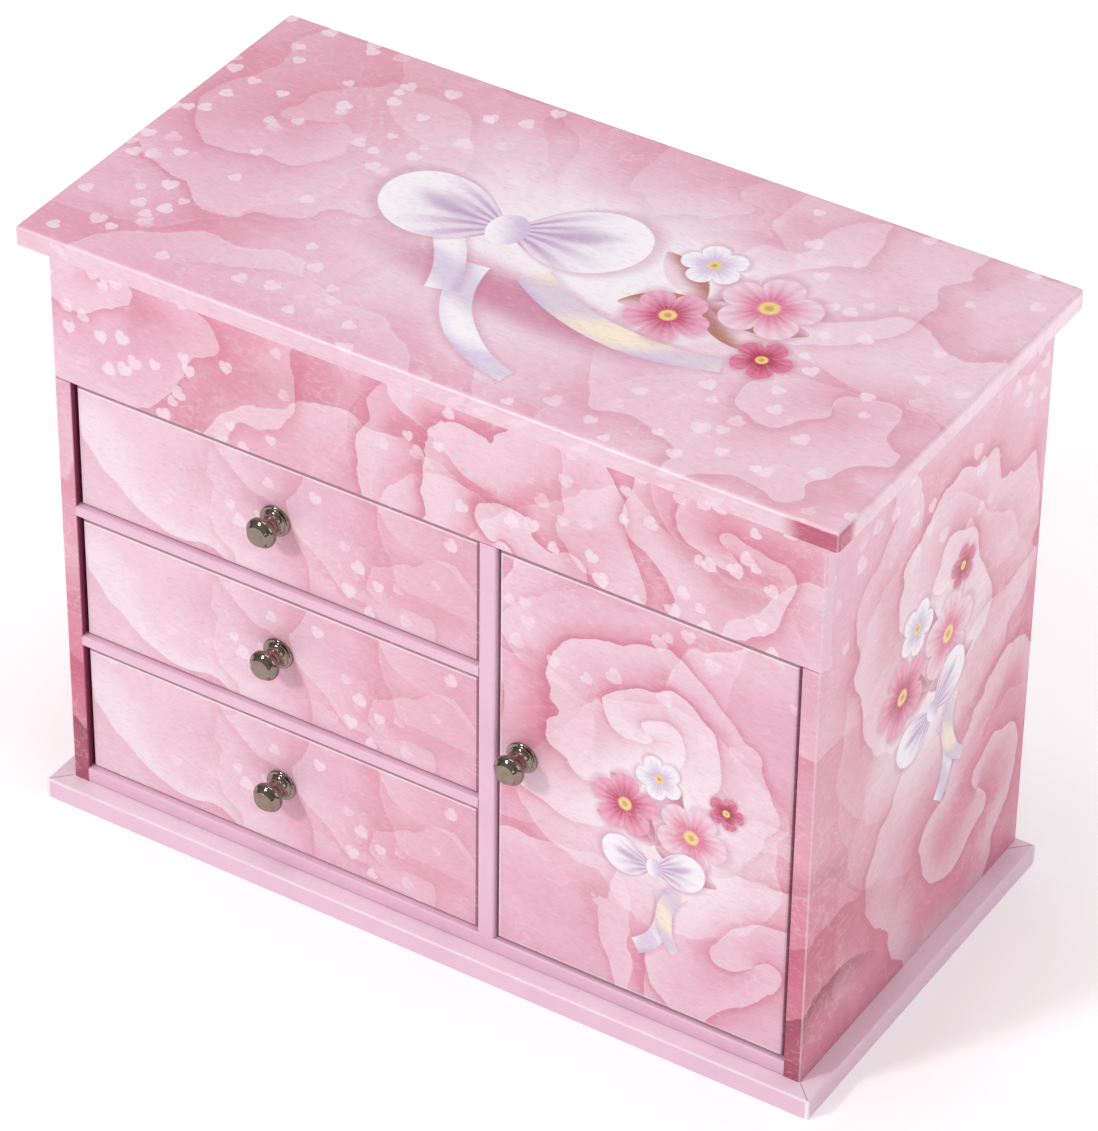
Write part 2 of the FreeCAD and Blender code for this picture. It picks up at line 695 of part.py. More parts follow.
def hinges():
    """Two butt hinges: a leaf with two knuckles on the back, a leaf with one under the lid, and a pin."""
    third = "((hinge_length - 2 * knuckle_gap) / 3)"
    plate_top = f"({HINGE_Z} - knuckle_radius - knuckle_gap)"
    leaf_back = (REAR, f"{REAR} + leaf_thickness")
    leaf_top = (BODY_TOP, f"{BODY_TOP} + leaf_thickness")
    knuckle_rear = f"({HINGE_Y} + knuckle_radius)"
    back_leaves = []
    lid_leaves = []
    pins = []
    for count, x in enumerate(HINGE_XS):
        start = f"({x} - hinge_length / 2)"
        middle = f"({start} + {third} + knuckle_gap)"
        far = f"({middle} + {third} + knuckle_gap)"
        whole = (start, f"{start} + hinge_length")
        parts = [box(f"back_leaf{count}", whole, leaf_back, (f"{plate_top} - leaf_reach", plate_top))]
        for side, low in (("near", start), ("far", far)):
            web_x = (low, f"{low} + {third}")
            parts.append(box(f"{side}_web{count}", web_x, leaf_back, (plate_top, HINGE_Z)))
            parts.append(rod(f"{side}_knuckle{count}", "knuckle_radius", third, "x", low, HINGE_Y, HINGE_Z))
        bore = "hinge_pin_radius + fit_clearance"
        through = rod(f"back_bore{count}", bore, "hinge_length", "x", start, HINGE_Y, HINGE_Z)
        joined = fuse(f"back_leaf_joined{count}", *parts)
        back_leaves.append(cut(f"back_leaf_bored{count}", joined, through))

        plate = box(f"lid_leaf{count}", whole, (f"{REAR} - lid_leaf_reach", knuckle_rear), leaf_top)
        web = box(
            f"lid_web{count}", (middle, f"{middle} + {third}"),
            (f"{knuckle_rear} - leaf_thickness", knuckle_rear), (HINGE_Z, leaf_top[1]),
        )
        knuckle = rod(f"lid_knuckle{count}", "knuckle_radius", third, "x", middle, HINGE_Y, HINGE_Z)
        seat = rod(f"lid_bore{count}", "hinge_pin_radius", third, "x", middle, HINGE_Y, HINGE_Z)
        joined = fuse(f"lid_leaf_joined{count}", plate, web, knuckle)
        lid_leaves.append(cut(f"lid_leaf_bored{count}", joined, seat))
        pin = rod(f"hinge_pin{count}", "hinge_pin_radius", "hinge_length", "x", start, HINGE_Y, HINGE_Z)
        pins.append(pin)
    node("hinge_back_leaves", group("hinge_back_leaves", *back_leaves))
    node("hinge_lid_leaves", group("hinge_lid_leaves", *lid_leaves))
    node("hinge_pins", group("hinge_pins", *pins))


def drawer(name, low, high):
    """One drawer: front, box sides, bottom, velvet and knob."""
    left = f"(-{INNER_X} + drawer_gap)"
    right = "(partition_left - drawer_gap)"
    front = f"({FRONT} + drawer_recess)"
    front_back = f"({front} + drawer_front_thickness)"
    bottom = f"({low} + run_clearance)"
    middle_x = f"(({left} + {right}) / 2)"
    middle_z = f"(({low} + {high}) / 2)"
    face = board_body(
        f"{name}_front_board", (left, right), (front, front_back), (bottom, f"{high} - drawer_gap")
    )
    round_edges(face, "board_round", is_on_front)
    hole = stud_hole(f"{name}_stud_hole", middle_x, front, middle_z, "drawer_front_thickness")
    node(f"{name}_drawer_front", cut(f"{name}_drawer_front_drilled", face, hole))

    side_left = f"({left} + drawer_side_inset)"
    side_right = f"({right} - drawer_side_inset)"
    inner_left = f"({side_left} + drawer_side_thickness)"
    inner_right = f"({side_right} - drawer_side_thickness)"
    rear = f"({front_back} + drawer_length)"
    inner_rear = f"({rear} - drawer_side_thickness)"
    side_top = f"({high} - drawer_side_drop)"
    along = (front_back, rear)
    upright = (bottom, side_top)
    walls = [
        box(f"{name}_left_wall", (side_left, inner_left), along, upright),
        box(f"{name}_right_wall", (inner_right, side_right), along, upright),
        box(f"{name}_rear_wall", (inner_left, inner_right), (inner_rear, rear), upright),
    ]
    node(f"{name}_drawer_walls", group(f"{name}_drawer_walls", *walls))
    inside = (inner_left, inner_right)
    bed = (front_back, inner_rear)
    bottom_top = f"({bottom} + drawer_bottom_thickness)"
    node(f"{name}_drawer_bottom", box(f"{name}_drawer_bottom", inside, bed, (bottom, bottom_top)))
    velvet = (bottom_top, f"{bottom_top} + lining_thickness")
    node(f"{name}_drawer_lining", box(f"{name}_drawer_lining", inside, bed, velvet))
    knob(f"{name}_drawer_knob", middle_x, front, middle_z, "drawer_front_thickness")


def door():
    """The cupboard door, which turns on two pins near its right edge."""
    left = f"({PARTITION_RIGHT} + door_gap)"
    low = f"({FLOOR_TOP} + door_gap)"
    high = f"({FASCIA_BOTTOM} - door_gap)"
    middle_z = f"(({low} + {high}) / 2)"
    deep = (DOOR_FRONT, f"{DOOR_FRONT} + door_thickness")
    board = board_body("door_board", (left, DOOR_RIGHT), deep, (low, high))
    width = size(f"{DOOR_RIGHT} - {left}")

    def pivot_corner(edge):
        middle = edge_middle(edge)
        return edge.BoundBox.ZLength > 1 and middle.y < 1e-6 and abs(middle.x - width) < 1e-6

    round_edges(board, "door_edge_round", pivot_corner)
    pin_reach = "(pivot_depth + fit_clearance)"
    bore = "pivot_radius + fit_clearance"
    tools = [
        rod("door_lower_bore", bore, pin_reach, "z", PIVOT_X, PIVOT_Y, low),
        rod("door_upper_bore", bore, pin_reach, "z", PIVOT_X, PIVOT_Y, f"{high} - {pin_reach}"),
        stud_hole("door_stud_hole", f"{left} + door_knob_inset", DOOR_FRONT, middle_z, "door_thickness"),
    ]
    node("door_panel", cut("door_panel_drilled", board, *tools))
    knob("door_knob", f"{left} + door_knob_inset", DOOR_FRONT, middle_z, "door_thickness")


def cupboard_rail():
    """A rail with wire hooks for necklaces on the cupboard's back."""
    rail_front = f"({BACK_FACE} - rail_thickness)"
    rail_low = f"({RAIL_TOP} - rail_height)"
    rail = box("rail_board", (PARTITION_RIGHT, INNER_X), (rail_front, BACK_FACE), (rail_low, RAIL_TOP))
    centre = f"(({PARTITION_RIGHT} + {INNER_X}) / 2)"
    hook_z = f"({RAIL_TOP} - rail_height / 2)"
    room = size(f"{INNER_X} - {PARTITION_RIGHT} - hook_pitch")
    count = int(room // size("hook_pitch")) + 1
    hooks = []
    bores = []
    for index in range(count):
        x = f"({centre} + {index - (count - 1) / 2} * hook_pitch)"
        bore = "hook_wire_radius + fit_clearance"
        bores.append(rod(f"hook_bore{index}", bore, "rail_thickness", "y", x, rail_front, hook_z))
        shank = rod(
            f"hook_shank{index}", "hook_wire_radius", "hook_shank + rail_thickness", "y",
            x, f"{rail_front} - hook_shank", hook_z,
        )
        bend = doc.addObject("Part::Torus", f"hook_bend{index}")
        bend.setExpression("Radius1", bound("hook_bend_radius"))
        bend.setExpression("Radius2", bound("hook_wire_radius"))
        bend.Angle3 = 180
        bend.Placement = FreeCAD.Placement(FreeCAD.Vector(), FreeCAD.Rotation(Z_AXIS, -Y_AXIS, X_AXIS))
        place(bend, x, f"{rail_front} - hook_shank", f"{hook_z} + hook_bend_radius")
        hooks.append(fuse(f"hook{index}", shank, bend))
    node("necklace_rail", cut("necklace_rail", rail, *bores))
    node("necklace_hooks", group("necklace_hooks", *hooks))


def bed_plate():
    """Cast bed of the movement: plate, comb pad and the plates that carry the arbors."""
    plate = box(
        "bed_sheet", (f"{MOVEMENT_X} - bed_left", f"{MOVEMENT_X} + bed_right"), (BED_FRONT, BACK_FACE),
        (f"{MOVEMENT_Z} - bed_below", f"{MOVEMENT_Z} + bed_above"),
    )
    tip = f"({MOVEMENT_Z} - cylinder_radius - cylinder_pin_height - comb_tip_gap)"
    comb_low = f"({tip} - comb_tooth_length - comb_root)"
    pad = box(
        "comb_pad", (CYLINDER_LEFT, CYLINDER_RIGHT), (f"{MESH_Y} + comb_thickness / 2", BED_FRONT),
        (comb_low, f"{comb_low} + comb_root"),
    )
    left_plate_x = f"({CYLINDER_LEFT} - wheel_gap - plate_thickness)"
    arm = "(cylinder_arbor_radius * 3)"
    left_arm = box(
        "left_arm", (left_plate_x, f"{left_plate_x} + plate_thickness"), (f"{MESH_Y} - {arm}", BED_FRONT),
        (f"{MOVEMENT_Z} - {arm}", f"{MOVEMENT_Z} + {arm}"),
    )
    reach = (f"{GOVERNOR_Y} - {arm}", BED_FRONT)
    heights = (f"{FLY_Z} - {arm}", f"{MOVEMENT_Z} + {arm}")
    inner_plate = box("inner_plate", (INNER_PLATE, f"{INNER_PLATE} + plate_thickness"), reach, heights)
    end_plate = box("end_plate", (END_PLATE, f"{END_PLATE} + plate_thickness"), reach, heights)
    solid = fuse("bed_casting", plate, pad, left_arm, inner_plate, end_plate)
    span = f"({END_PLATE} + plate_thickness - {left_plate_x})"
    short = f"({END_PLATE} + plate_thickness - {INNER_PLATE})"
    thin = "thin_arbor_radius + fit_clearance"
    thick = "cylinder_arbor_radius + fit_clearance"
    wide = "arbor_radius + fit_clearance"
    tools = [
        rod("cylinder_bore", thick, span, "x", left_plate_x, MESH_Y, MOVEMENT_Z),
        rod("governor_bore", thin, short, "x", INNER_PLATE, GOVERNOR_Y, MOVEMENT_Z),
        rod("fly_bore", thin, short, "x", INNER_PLATE, GOVERNOR_Y, FLY_Z),
        rod("arbor_bore", wide, "bed_thickness", "y", MOVEMENT_X, BED_FRONT, MOVEMENT_Z),
    ]
    node("movement_bed", cut("movement_bed", solid, *tools))
    comb(comb_low)


def comb(low):
    """Steel comb: a plate with slots in a linear pattern, so that the teeth point at the cylinder."""
    width = "cylinder_length"
    height = "(comb_root + comb_tooth_length)"
    plate_corners = [("0", "0"), (width, "0"), (width, height), ("0", height)]
    body = padded_body("music_comb", plate_corners, "comb_thickness")
    doc.recompute()
    pitch = f"({width} / comb_teeth)"
    slot_corners = [
        (f"{pitch} - comb_slot / 2", "comb_root"),
        (f"{pitch} + comb_slot / 2", "comb_root"),
        (f"{pitch} + comb_slot / 2", f"{height} + comb_slot"),
        (f"{pitch} - comb_slot / 2", f"{height} + comb_slot"),
    ]
    sketch = outline(body, "comb_slot_outline", slot_corners)
    slot = body.newObject("PartDesign::Pocket", "comb_slot_cut")
    slot.Profile = sketch
    slot.Type = 1
    slot.Midplane = True
    doc.recompute()
    pattern = body.newObject("PartDesign::LinearPattern", "comb_slots")
    pattern.Originals = [slot]
    pattern.Direction = (origin_item(body, "X_Axis"), [""])
    pattern.setExpression("Length", bound(f"{pitch} * (comb_teeth - 2)"))
    pattern.setExpression("Occurrences", bound("comb_teeth - 1"))
    body.Tip = pattern
    body.Placement = FreeCAD.Placement(FreeCAD.Vector(), FreeCAD.Rotation(X_AXIS, 90))
    place(body, CYLINDER_LEFT, f"{MESH_Y} + comb_thickness / 2", low)
    node("music_comb", body)


def spring_barrel():
    """Barrel with a ring of pegs on its face, its cap and the coiled mainspring."""
    bore = "(arbor_radius + fit_clearance)"
    depth = "barrel_length - barrel_wall"
    section = [
        (bore, "0"),
        ("barrel_radius", "0"),
        ("barrel_radius", depth),
        ("barrel_radius - barrel_wall", depth),
        ("barrel_radius - barrel_wall", "barrel_wall"),
        (bore, "barrel_wall"),
    ]
    drum = place(turn(turned_body("barrel_cup", section), "y"), MOVEMENT_X, BARREL_FRONT, MOVEMENT_Z)
    pegs = []
    for index in range(int(size("peg_count"))):
        angle = f"({index} + 0.5) * 360 / peg_count"
        pegs.append(
            prism(
                f"peg{index}", 8, "peg_radius", "peg_length", "-y",
                f"{MOVEMENT_X} + peg_circle_radius * sin({angle})", BARREL_FRONT,
                f"{MOVEMENT_Z} + peg_circle_radius * cos({angle})",
            )
        )
    node("barrel_drum", fuse("barrel_drum", drum, *pegs))
    cap = [
        (bore, "0"),
        ("barrel_radius", "0"),
        ("barrel_radius", "barrel_wall"),
        (bore, "barrel_wall"),
    ]
    cap_y = f"{BARREL_BACK} - barrel_wall"
    node("barrel_cap", place(turn(turned_body("barrel_cap", cap), "y"), MOVEMENT_X, cap_y, MOVEMENT_Z))

    spring = doc.addObject("Part::Feature", "mainspring")
    spring.Shape = spiral_strip(
        size("barrel_radius - barrel_wall - spring_end_gap"), size("spring_pitch"), size("spring_strip"),
        int(size("spring_turns")), size("barrel_length - 2 * barrel_wall - 2 * spring_end_gap"),
    )
    place(turn(spring, "y"), MOVEMENT_X, f"{BARREL_FRONT} + barrel_wall + spring_end_gap", MOVEMENT_Z)
    node("mainspring", spring)


def spiral_strip(outer, pitch, strip, turns, height):
    """A flat strip wound inwards by half circles whose centres step to and fro by a quarter pitch."""
    edges = []
    for offset in (0.0, strip):
        radius = outer - offset
        centre = 0.0
        side = 1
        run = []
        for _ in range(2 * turns):
            start = FreeCAD.Vector(centre + side * radius, 0, 0)
            crest = FreeCAD.Vector(centre, side * radius, 0)
            finish = FreeCAD.Vector(centre - side * radius, 0, 0)
            run.append(Part.Arc(start, crest, finish).toShape())
            radius -= pitch / 4
            centre -= side * pitch / 4
            side = -side
        edges.append(run)
    outside, inside = edges
    ends = [
        Part.makeLine(run_out.Vertexes[index].Point, run_in.Vertexes[index].Point)
        for run_out, run_in, index in ((outside[0], inside[0], 0), (outside[-1], inside[-1], -1))
    ]
    wire = Part.Wire(Part.__sortEdges__(outside + inside + ends))
    return Part.Face(wire).extrude(FreeCAD.Vector(0, 0, height))


def winding_key():
    """Winding arbor and the butterfly key that turns it behind the chest."""
    start = f"({BARREL_FRONT} - fit_clearance)"
    key_low = f"({REAR} + key_stand_off)"
    reach = f"{key_low} + key_shank_length / 2 - {start}"
    shaft = rod("arbor_shaft", "arbor_radius", reach, "y", MOVEMENT_X, start, MOVEMENT_Z)
    node("winding_arbor", shaft)
    shank = [
        ("arbor_radius", "0"),
        ("key_shank_radius", "0"),
        ("key_shank_radius", "key_shank_length"),
        ("0", "key_shank_length"),
        ("0", "key_shank_length / 2"),
        ("arbor_radius", "key_shank_length / 2"),
    ]
    boss = place(turn(turned_body("key_boss", shank), "y"), MOVEMENT_X, key_low, MOVEMENT_Z)
    half = "(key_wing_span / 2)"
    wing_low = "(key_shank_length - key_wing_thickness)"
    corners = [
        (f"-{half} * 0.35", "0"),
        (f"{half} * 0.35", "0"),
        (half, "key_wing_height * 0.3"),
        (half, "key_wing_height * 0.75"),
        (f"{half} * 0.75", "key_wing_height"),
        (f"{half} * 0.3", "key_wing_height * 0.85"),
        (f"-{half} * 0.3", "key_wing_height * 0.85"),
        (f"-{half} * 0.75", "key_wing_height"),
        (f"-{half}", "key_wing_height * 0.75"),
        (f"-{half}", "key_wing_height * 0.3"),
    ]
    wing = padded_body("key_wing", corners, "key_wing_thickness")
    round_edges(wing, "key_wing_thickness", lambda edge: edge.BoundBox.ZLength > 1e-6)
    place(wing, MOVEMENT_X, f"{key_low} + {wing_low}", f"{MOVEMENT_Z} - key_wing_thickness / 2")
    eyes = [
        rod(
            f"key_eye{count}", "key_eye_radius", "key_wing_thickness", "z",
            f"{MOVEMENT_X} + {side} * {half} * 0.62", f"{key_low} + {wing_low} + key_wing_height * 0.52",
            f"{MOVEMENT_Z} - key_wing_thickness / 2",
        )
        for count, side in enumerate((-1, 1))
    ]
    node("winding_key", cut("winding_key", fuse("key_joined", boss, wing), *eyes))


def peg_pinion(name, axis, teeth_before):
    """Pinion that runs between the barrel's pegs, turned by whole or half teeth from a tooth at +Y."""
    width = "pinion_tooth_width"
    pinion = toothed_wheel(
        name, "pinion_teeth", PINION_ROOT, PINION_TIP, f"{width} * 1.2", f"{width} * 0.7", "pinion_length"
    )
    spin = FreeCAD.Rotation(Z_AXIS, 90 + teeth_before * 360 / size("pinion_teeth"))
    pinion.Placement = FreeCAD.Placement(FreeCAD.Vector(), AXIS_TURN[axis].multiply(spin))
    return pinion


def fine_wheel(name, teeth, x, y, z, turn_by):
    """Spur wheel of the governor train, turned on its axis so that it is in mesh."""
    pitch = f"(wheel_module * {teeth} / 2)"
    tooth = "wheel_module * 1.1"
    wheel = toothed_wheel(
        name, teeth, f"{pitch} - wheel_module * 1.25", f"{pitch} + wheel_module * 0.8",
        f"{tooth} * 1.35", f"{tooth} * 0.55", "wheel_thickness",
    )
    spin = FreeCAD.Rotation(Z_AXIS, turn_by)
    wheel.Placement = FreeCAD.Placement(FreeCAD.Vector(), AXIS_TURN["x"].multiply(spin))
    return place(wheel, x, y, z)


def cylinder_and_governor():
    """Pinned cylinder, the wheels that slow it and the fly."""
    pinion = peg_pinion("cylinder_pinion", "x", 0.5)
    pinion_x = f"({MOVEMENT_X} + peg_circle_radius - pinion_length / 2)"
    place(pinion, pinion_x, MESH_Y, MOVEMENT_Z)
    end = f"({END_PLATE} + plate_thickness)"
    length = f"{end} - {pinion_x}"
    shaft = rod("cylinder_shaft", "cylinder_arbor_radius", length, "x", pinion_x, MESH_Y, MOVEMENT_Z)
    great = fine_wheel("great_wheel", "great_wheel_teeth", GREAT_WHEEL_X, MESH_Y, MOVEMENT_Z, 0)
    node("cylinder_arbor", fuse("cylinder_arbor", pinion, shaft, great))

    start = (CYLINDER_LEFT, MESH_Y, MOVEMENT_Z)
    tube = rod("cylinder_tube", "cylinder_radius", "cylinder_length", "x", *start)
    bore = rod("tube_bore", "cylinder_arbor_radius", "cylinder_length", "x", *start)
    pitch = "(cylinder_length / comb_teeth)"
    pins = []
    foot = "(cylinder_radius - cylinder_pin_height)"
    for column in range(int(size("comb_teeth"))):
        angle = NOTE_STEP * column
        pin = doc.addObject("Part::Box", f"note_pin{column}")
        for side in ("Length", "Width"):
            pin.setExpression(side, bound("2 * cylinder_pin_radius"))
        pin.setExpression("Height", bound("2 * cylinder_pin_height"))
        pin.Placement = FreeCAD.Placement(FreeCAD.Vector(), FreeCAD.Rotation(X_AXIS, angle))
        place(
            pin, f"{CYLINDER_LEFT} + {pitch} * {column + 0.5} - cylinder_pin_radius",
            f"{MESH_Y} - {foot} * sin({angle})", f"{MOVEMENT_Z} + {foot} * cos({angle})",
        )
        pins.append(pin)
    node("music_cylinder", fuse("music_cylinder", cut("cylinder_bored", tube, bore), *pins))

    half_tooth = 180 / size("small_pinion_teeth")
    length = f"{end} - {INNER_PLATE}"
    start = (INNER_PLATE, GOVERNOR_Y, MOVEMENT_Z)
    shaft = rod("governor_shaft", "thin_arbor_radius", length, "x", *start)
    small = fine_wheel("governor_pinion", "small_pinion_teeth", GREAT_WHEEL_X, GOVERNOR_Y, MOVEMENT_Z, 0)
    wheel = fine_wheel("governor_disc", "governor_wheel_teeth", GOVERNOR_WHEEL_X, GOVERNOR_Y, MOVEMENT_Z, 0)
    node("governor_wheel", fuse("governor_wheel", shaft, small, wheel))

    shaft = rod("fly_shaft", "thin_arbor_radius", length, "x", INNER_PLATE, GOVERNOR_Y, FLY_Z)
    small = fine_wheel("fly_pinion", "small_pinion_teeth", GOVERNOR_WHEEL_X, GOVERNOR_Y, FLY_Z, half_tooth)
    vane = box(
        "fly_vanes",
        (FLY_X, f"{FLY_X} + fly_width"),
        (f"{GOVERNOR_Y} - fly_vane / 2", f"{GOVERNOR_Y} + fly_vane / 2"),
        (f"{FLY_Z} - fly_radius", f"{FLY_Z} + fly_radius"),
    )
    node("governor_fly", fuse("governor_fly", shaft, small, vane))


def movement_cover():
    """Cover that closes the movement off at the cupboard's ceiling."""
    across = (PARTITION_RIGHT, INNER_X)
    inside = f"({COVER_FRONT} + cover_wall)"
    front = box("cover_front", across, (COVER_FRONT, inside), (COVER_BOTTOM, FASCIA_BOTTOM))
    thick = (COVER_BOTTOM, f"{COVER_BOTTOM} + cover_wall")
    bottom = box("cover_bottom", across, (inside, BACK_FACE), thick)
    node("movement_cover", group("movement_cover", front, bottom))


def bushes():
    """Flanged bushes for the dancer's spindle and the lid stop."""
    made = []
    for name, radius, x, y in (
        ("spindle", "spindle_radius", MOVEMENT_X, MESH_Y),
        ("stop", "stop_rod_radius", STOP_ROD_X, "stop_rod_y"),
    ):
        section = [
            (f"{radius} + fit_clearance", "0"),
            ("bush_radius", "0"),
            ("bush_radius", "tray_floor_thickness"),
            ("bush_flange", "tray_floor_thickness"),
            ("bush_flange", "tray_floor_thickness + bush_flange_height"),
            (f"{radius} + fit_clearance", "tray_floor_thickness + bush_flange_height"),
        ]
        made.append(place(turned_body(f"{name}_bush", section), x, y, FASCIA_BOTTOM))
    node("tray_bushes", group("tray_bushes", *made))


def dancer():
    """Spindle, turntable, dancer and skirt."""
    low = f"({MOVEMENT_Z} + peg_circle_radius - pinion_length / 2)"
    pinion = place(peg_pinion("spindle_pinion", "z", 0), MOVEMENT_X, MESH_Y, low)
    shaft = rod("spindle_shaft", "spindle_radius", f"{TABLE_BOTTOM} - {low}", "z", MOVEMENT_X, MESH_Y, low)
    node("dancer_spindle", fuse("dancer_spindle", pinion, shaft))

    section = [
        ("0", "0"),
        ("table_radius - table_thickness / 2", "0"),
        ("table_radius", "table_thickness / 2"),
        ("table_radius", "table_thickness * 0.7"),
        ("table_radius - table_thickness * 0.3", "table_thickness"),
        ("0", "table_thickness"),
    ]
    node("turntable", place(turned_body("turntable", section), MOVEMENT_X, MESH_Y, TABLE_BOTTOM))

    hip = f"({TABLE_TOP} + dancer_leg)"
    shoulder = f"({hip} + dancer_torso)"
    head = f"({shoulder} + dancer_neck + dancer_head_radius)"
    x, y = MOVEMENT_X, MESH_Y
    foot, hips, waist, chest = (
        "dancer_foot_radius", "dancer_hip_radius", "dancer_waist_radius", "dancer_chest_radius"
    )
    half = "dancer_torso / 2"
    standing = cone("standing_leg", foot, hips, "dancer_leg", "z", x, y, TABLE_TOP)
    lower_torso = cone("lower_torso", hips, waist, half, "z", x, y, hip)
    upper_torso = cone("upper_torso", waist, chest, half, "z", x, y, f"{hip} + {half}")
    neck = rod("neck", "dancer_neck_radius", "dancer_neck + dancer_head_radius", "z", x, y, shoulder)
    skull = ball("skull", "dancer_head_radius", x, y, head)
    bun_y = f"{y} + dancer_head_radius * 0.5"
    bun = ball("bun", "dancer_bun_radius", x, bun_y, f"{head} + dancer_head_radius * 0.9")
    knee = doc.addObject("Part::Cone", "raised_thigh")
    knee.setExpression("Radius1", bound(f"{hips} * 0.9"))
    knee.setExpression("Radius2", bound(f"{foot} * 1.4"))
    knee.setExpression("Height", bound("dancer_leg * 0.62"))
    knee.Placement = FreeCAD.Placement(FreeCAD.Vector(), FreeCAD.Rotation(Y_AXIS, 145))
    place(knee, x, y, hip)
    arms = doc.addObject("Part::Torus", "arms")
    arms.setExpression("Radius1", bound("dancer_arm_reach"))
    arms.setExpression("Radius2", bound("dancer_arm_radius"))
    arms.Angle3 = 260
    upright = FreeCAD.Rotation(X_AXIS, 90).multiply(FreeCAD.Rotation(Z_AXIS, 140))
    arms.Placement = FreeCAD.Placement(FreeCAD.Vector(), upright)
    place(arms, x, y, f"{shoulder} - dancer_arm_radius + dancer_arm_reach")
    limbs = (standing, lower_torso, upper_torso, neck, skull, bun, knee, arms)
    node("dancer_figure", fuse("dancer_figure", *limbs))

    inner = "(dancer_hip_radius + fit_clearance)"
    drop = "skirt_droop"
    tutu = [
        (inner, drop),
        ("skirt_radius * 0.6", f"{drop} * 0.8"),
        ("skirt_radius", "0"),
        ("skirt_radius", "skirt_thickness * 0.4"),
        ("skirt_radius * 0.6", f"{drop} * 0.8 + skirt_thickness"),
        (inner, f"{drop} + skirt_thickness"),
    ]
    node("dancer_skirt", place(turned_body("dancer_skirt", tutu), x, y, f"{hip} - {drop} + run_clearance"))


def lid_stop():
    """Rod that the closed lid holds down beside the fly."""
    low = f"({FLY_Z} + fly_radius + stop_rod_gap)"
    high = f"({MIRROR_FACE} - stop_rod_gap)"
    stop = rod("lid_stop_rod", "stop_rod_radius", f"{high} - {low}", "z", STOP_ROD_X, "stop_rod_y", low)
    node("lid_stop_rod", stop)


def main():
    carcass()
    tray()
    lid()
    hinges()
    for name, (low, high) in DRAWERS.items():
        drawer(name, low, high)
    door()
    cupboard_rail()
    bed_plate()
    spring_barrel()
    winding_key()
    cylinder_and_governor()
    movement_cover()
    bushes()
    dancer()
    lid_stop()
    doc.recompute()
    faults = [item.Name for item in doc.Objects if "Invalid" in item.State or "Error" in item.State]
    faults += [item.Label for item in NODES if item.Shape.isNull() or not item.Shape.isValid()]
    if faults:
        raise RuntimeError("these objects failed: " + ", ".join(faults))
    os.makedirs("parts", exist_ok=True)
    for item in NODES:
        item.Shape.exportStep(f"parts/{item.Label}.step")
    print(len(NODES), "sub-parts written")


main()
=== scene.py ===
"""Looks of a musical jewellery chest: printed paper, knobs, velvet, mirror, movement and dancer."""

import math
from functools import partialmethod

import bmesh
import bpy
import numpy as np
from mathutils import Matrix, Vector


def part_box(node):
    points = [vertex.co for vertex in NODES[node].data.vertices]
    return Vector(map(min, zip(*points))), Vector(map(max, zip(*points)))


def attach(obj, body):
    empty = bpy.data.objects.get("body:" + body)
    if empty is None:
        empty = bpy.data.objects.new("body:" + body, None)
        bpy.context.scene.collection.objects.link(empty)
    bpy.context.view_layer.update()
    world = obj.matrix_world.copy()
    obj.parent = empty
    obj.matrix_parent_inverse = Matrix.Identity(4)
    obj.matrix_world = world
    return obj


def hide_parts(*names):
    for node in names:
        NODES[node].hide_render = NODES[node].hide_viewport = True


bl_info = {
    "name": "Musical jewellery chest",
    "version": (1, 0, 0),
    "blender": (4, 5, 0),
    "location": "View3D > Sidebar > Chest",
    "description": "Dresses the boards, knobs, tray, movement and dancer of a musical jewellery chest",
    "category": "Object",
}

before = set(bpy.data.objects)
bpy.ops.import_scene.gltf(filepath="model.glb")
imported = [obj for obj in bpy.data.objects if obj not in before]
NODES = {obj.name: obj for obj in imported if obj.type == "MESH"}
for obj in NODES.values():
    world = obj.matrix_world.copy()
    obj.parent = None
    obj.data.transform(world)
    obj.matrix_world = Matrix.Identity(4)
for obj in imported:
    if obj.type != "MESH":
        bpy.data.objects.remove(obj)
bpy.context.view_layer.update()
MM = 0.001
DRAWERS = ("upper", "middle", "lower")
PHOTO_SIZE = (1098, 1131)
# the ruffles start at this radius round the waist, and ripple towards the hem
WAIST_MM = 1.55
# share of the skirt's reach, count of waves and drop in millimetres of each ruffle
RUFFLES = ((1.0, 17, 2.6), (0.97, 15, 1.5), (0.9, 13, 0.4))
RUFFLE_STEP_MM = 0.25
# the knob's section is drawn at these sizes and scaled to the CAD knob
KNOB_RADIUS_MM = 5.6
KNOB_REACH_MM = 10.8
STUD_RADIUS_MM = 1.45
HINGE_LENGTH_MM = 22.0
HINGE_LEAF_MM = 0.8
BED_PLATE_MM = 3.0
# places of the screws on their pieces
HINGE_SCREW_INSET_MM = 5.0
BACK_SCREW_RISE_MM = 5.0
LID_SCREW_REACH_MM = 4.5
COMB_SCREW_INSET_MM = 5.0
COMB_SCREW_RISE_MM = 2.5
BED_SCREW_INSET_MM = 4.0
# radius and height of the screws' heads
KNOB_SCREW_MM = (2.7, 1.2)
BACK_SCREW_MM = (1.9, 0.7)
LID_SCREW_MM = (1.9, 0.5)
COMB_SCREW_MM = (1.5, 0.8)
BED_SCREW_MM = (2.2, 1.0)
ROLL_COUNT = 6
ROLL_PITCH_MM = 11.6
# room between the stage's velvet and the bush of the stop
BUSH_GAP_MM = 0.3
# how far the print turns round the edge of a board
WRAP_MM = 1.5
DOOR_WRAP_MM = 2.4
# edges that bend by more degrees than this stay sharp
FIGURE_CREASE = 70.0
SOFT_CREASE = 80.0
# from the dancer's hip to the shoulders, and from there to the middle of the head
TORSO_MM = 9.5
NECK_MM = 4.2
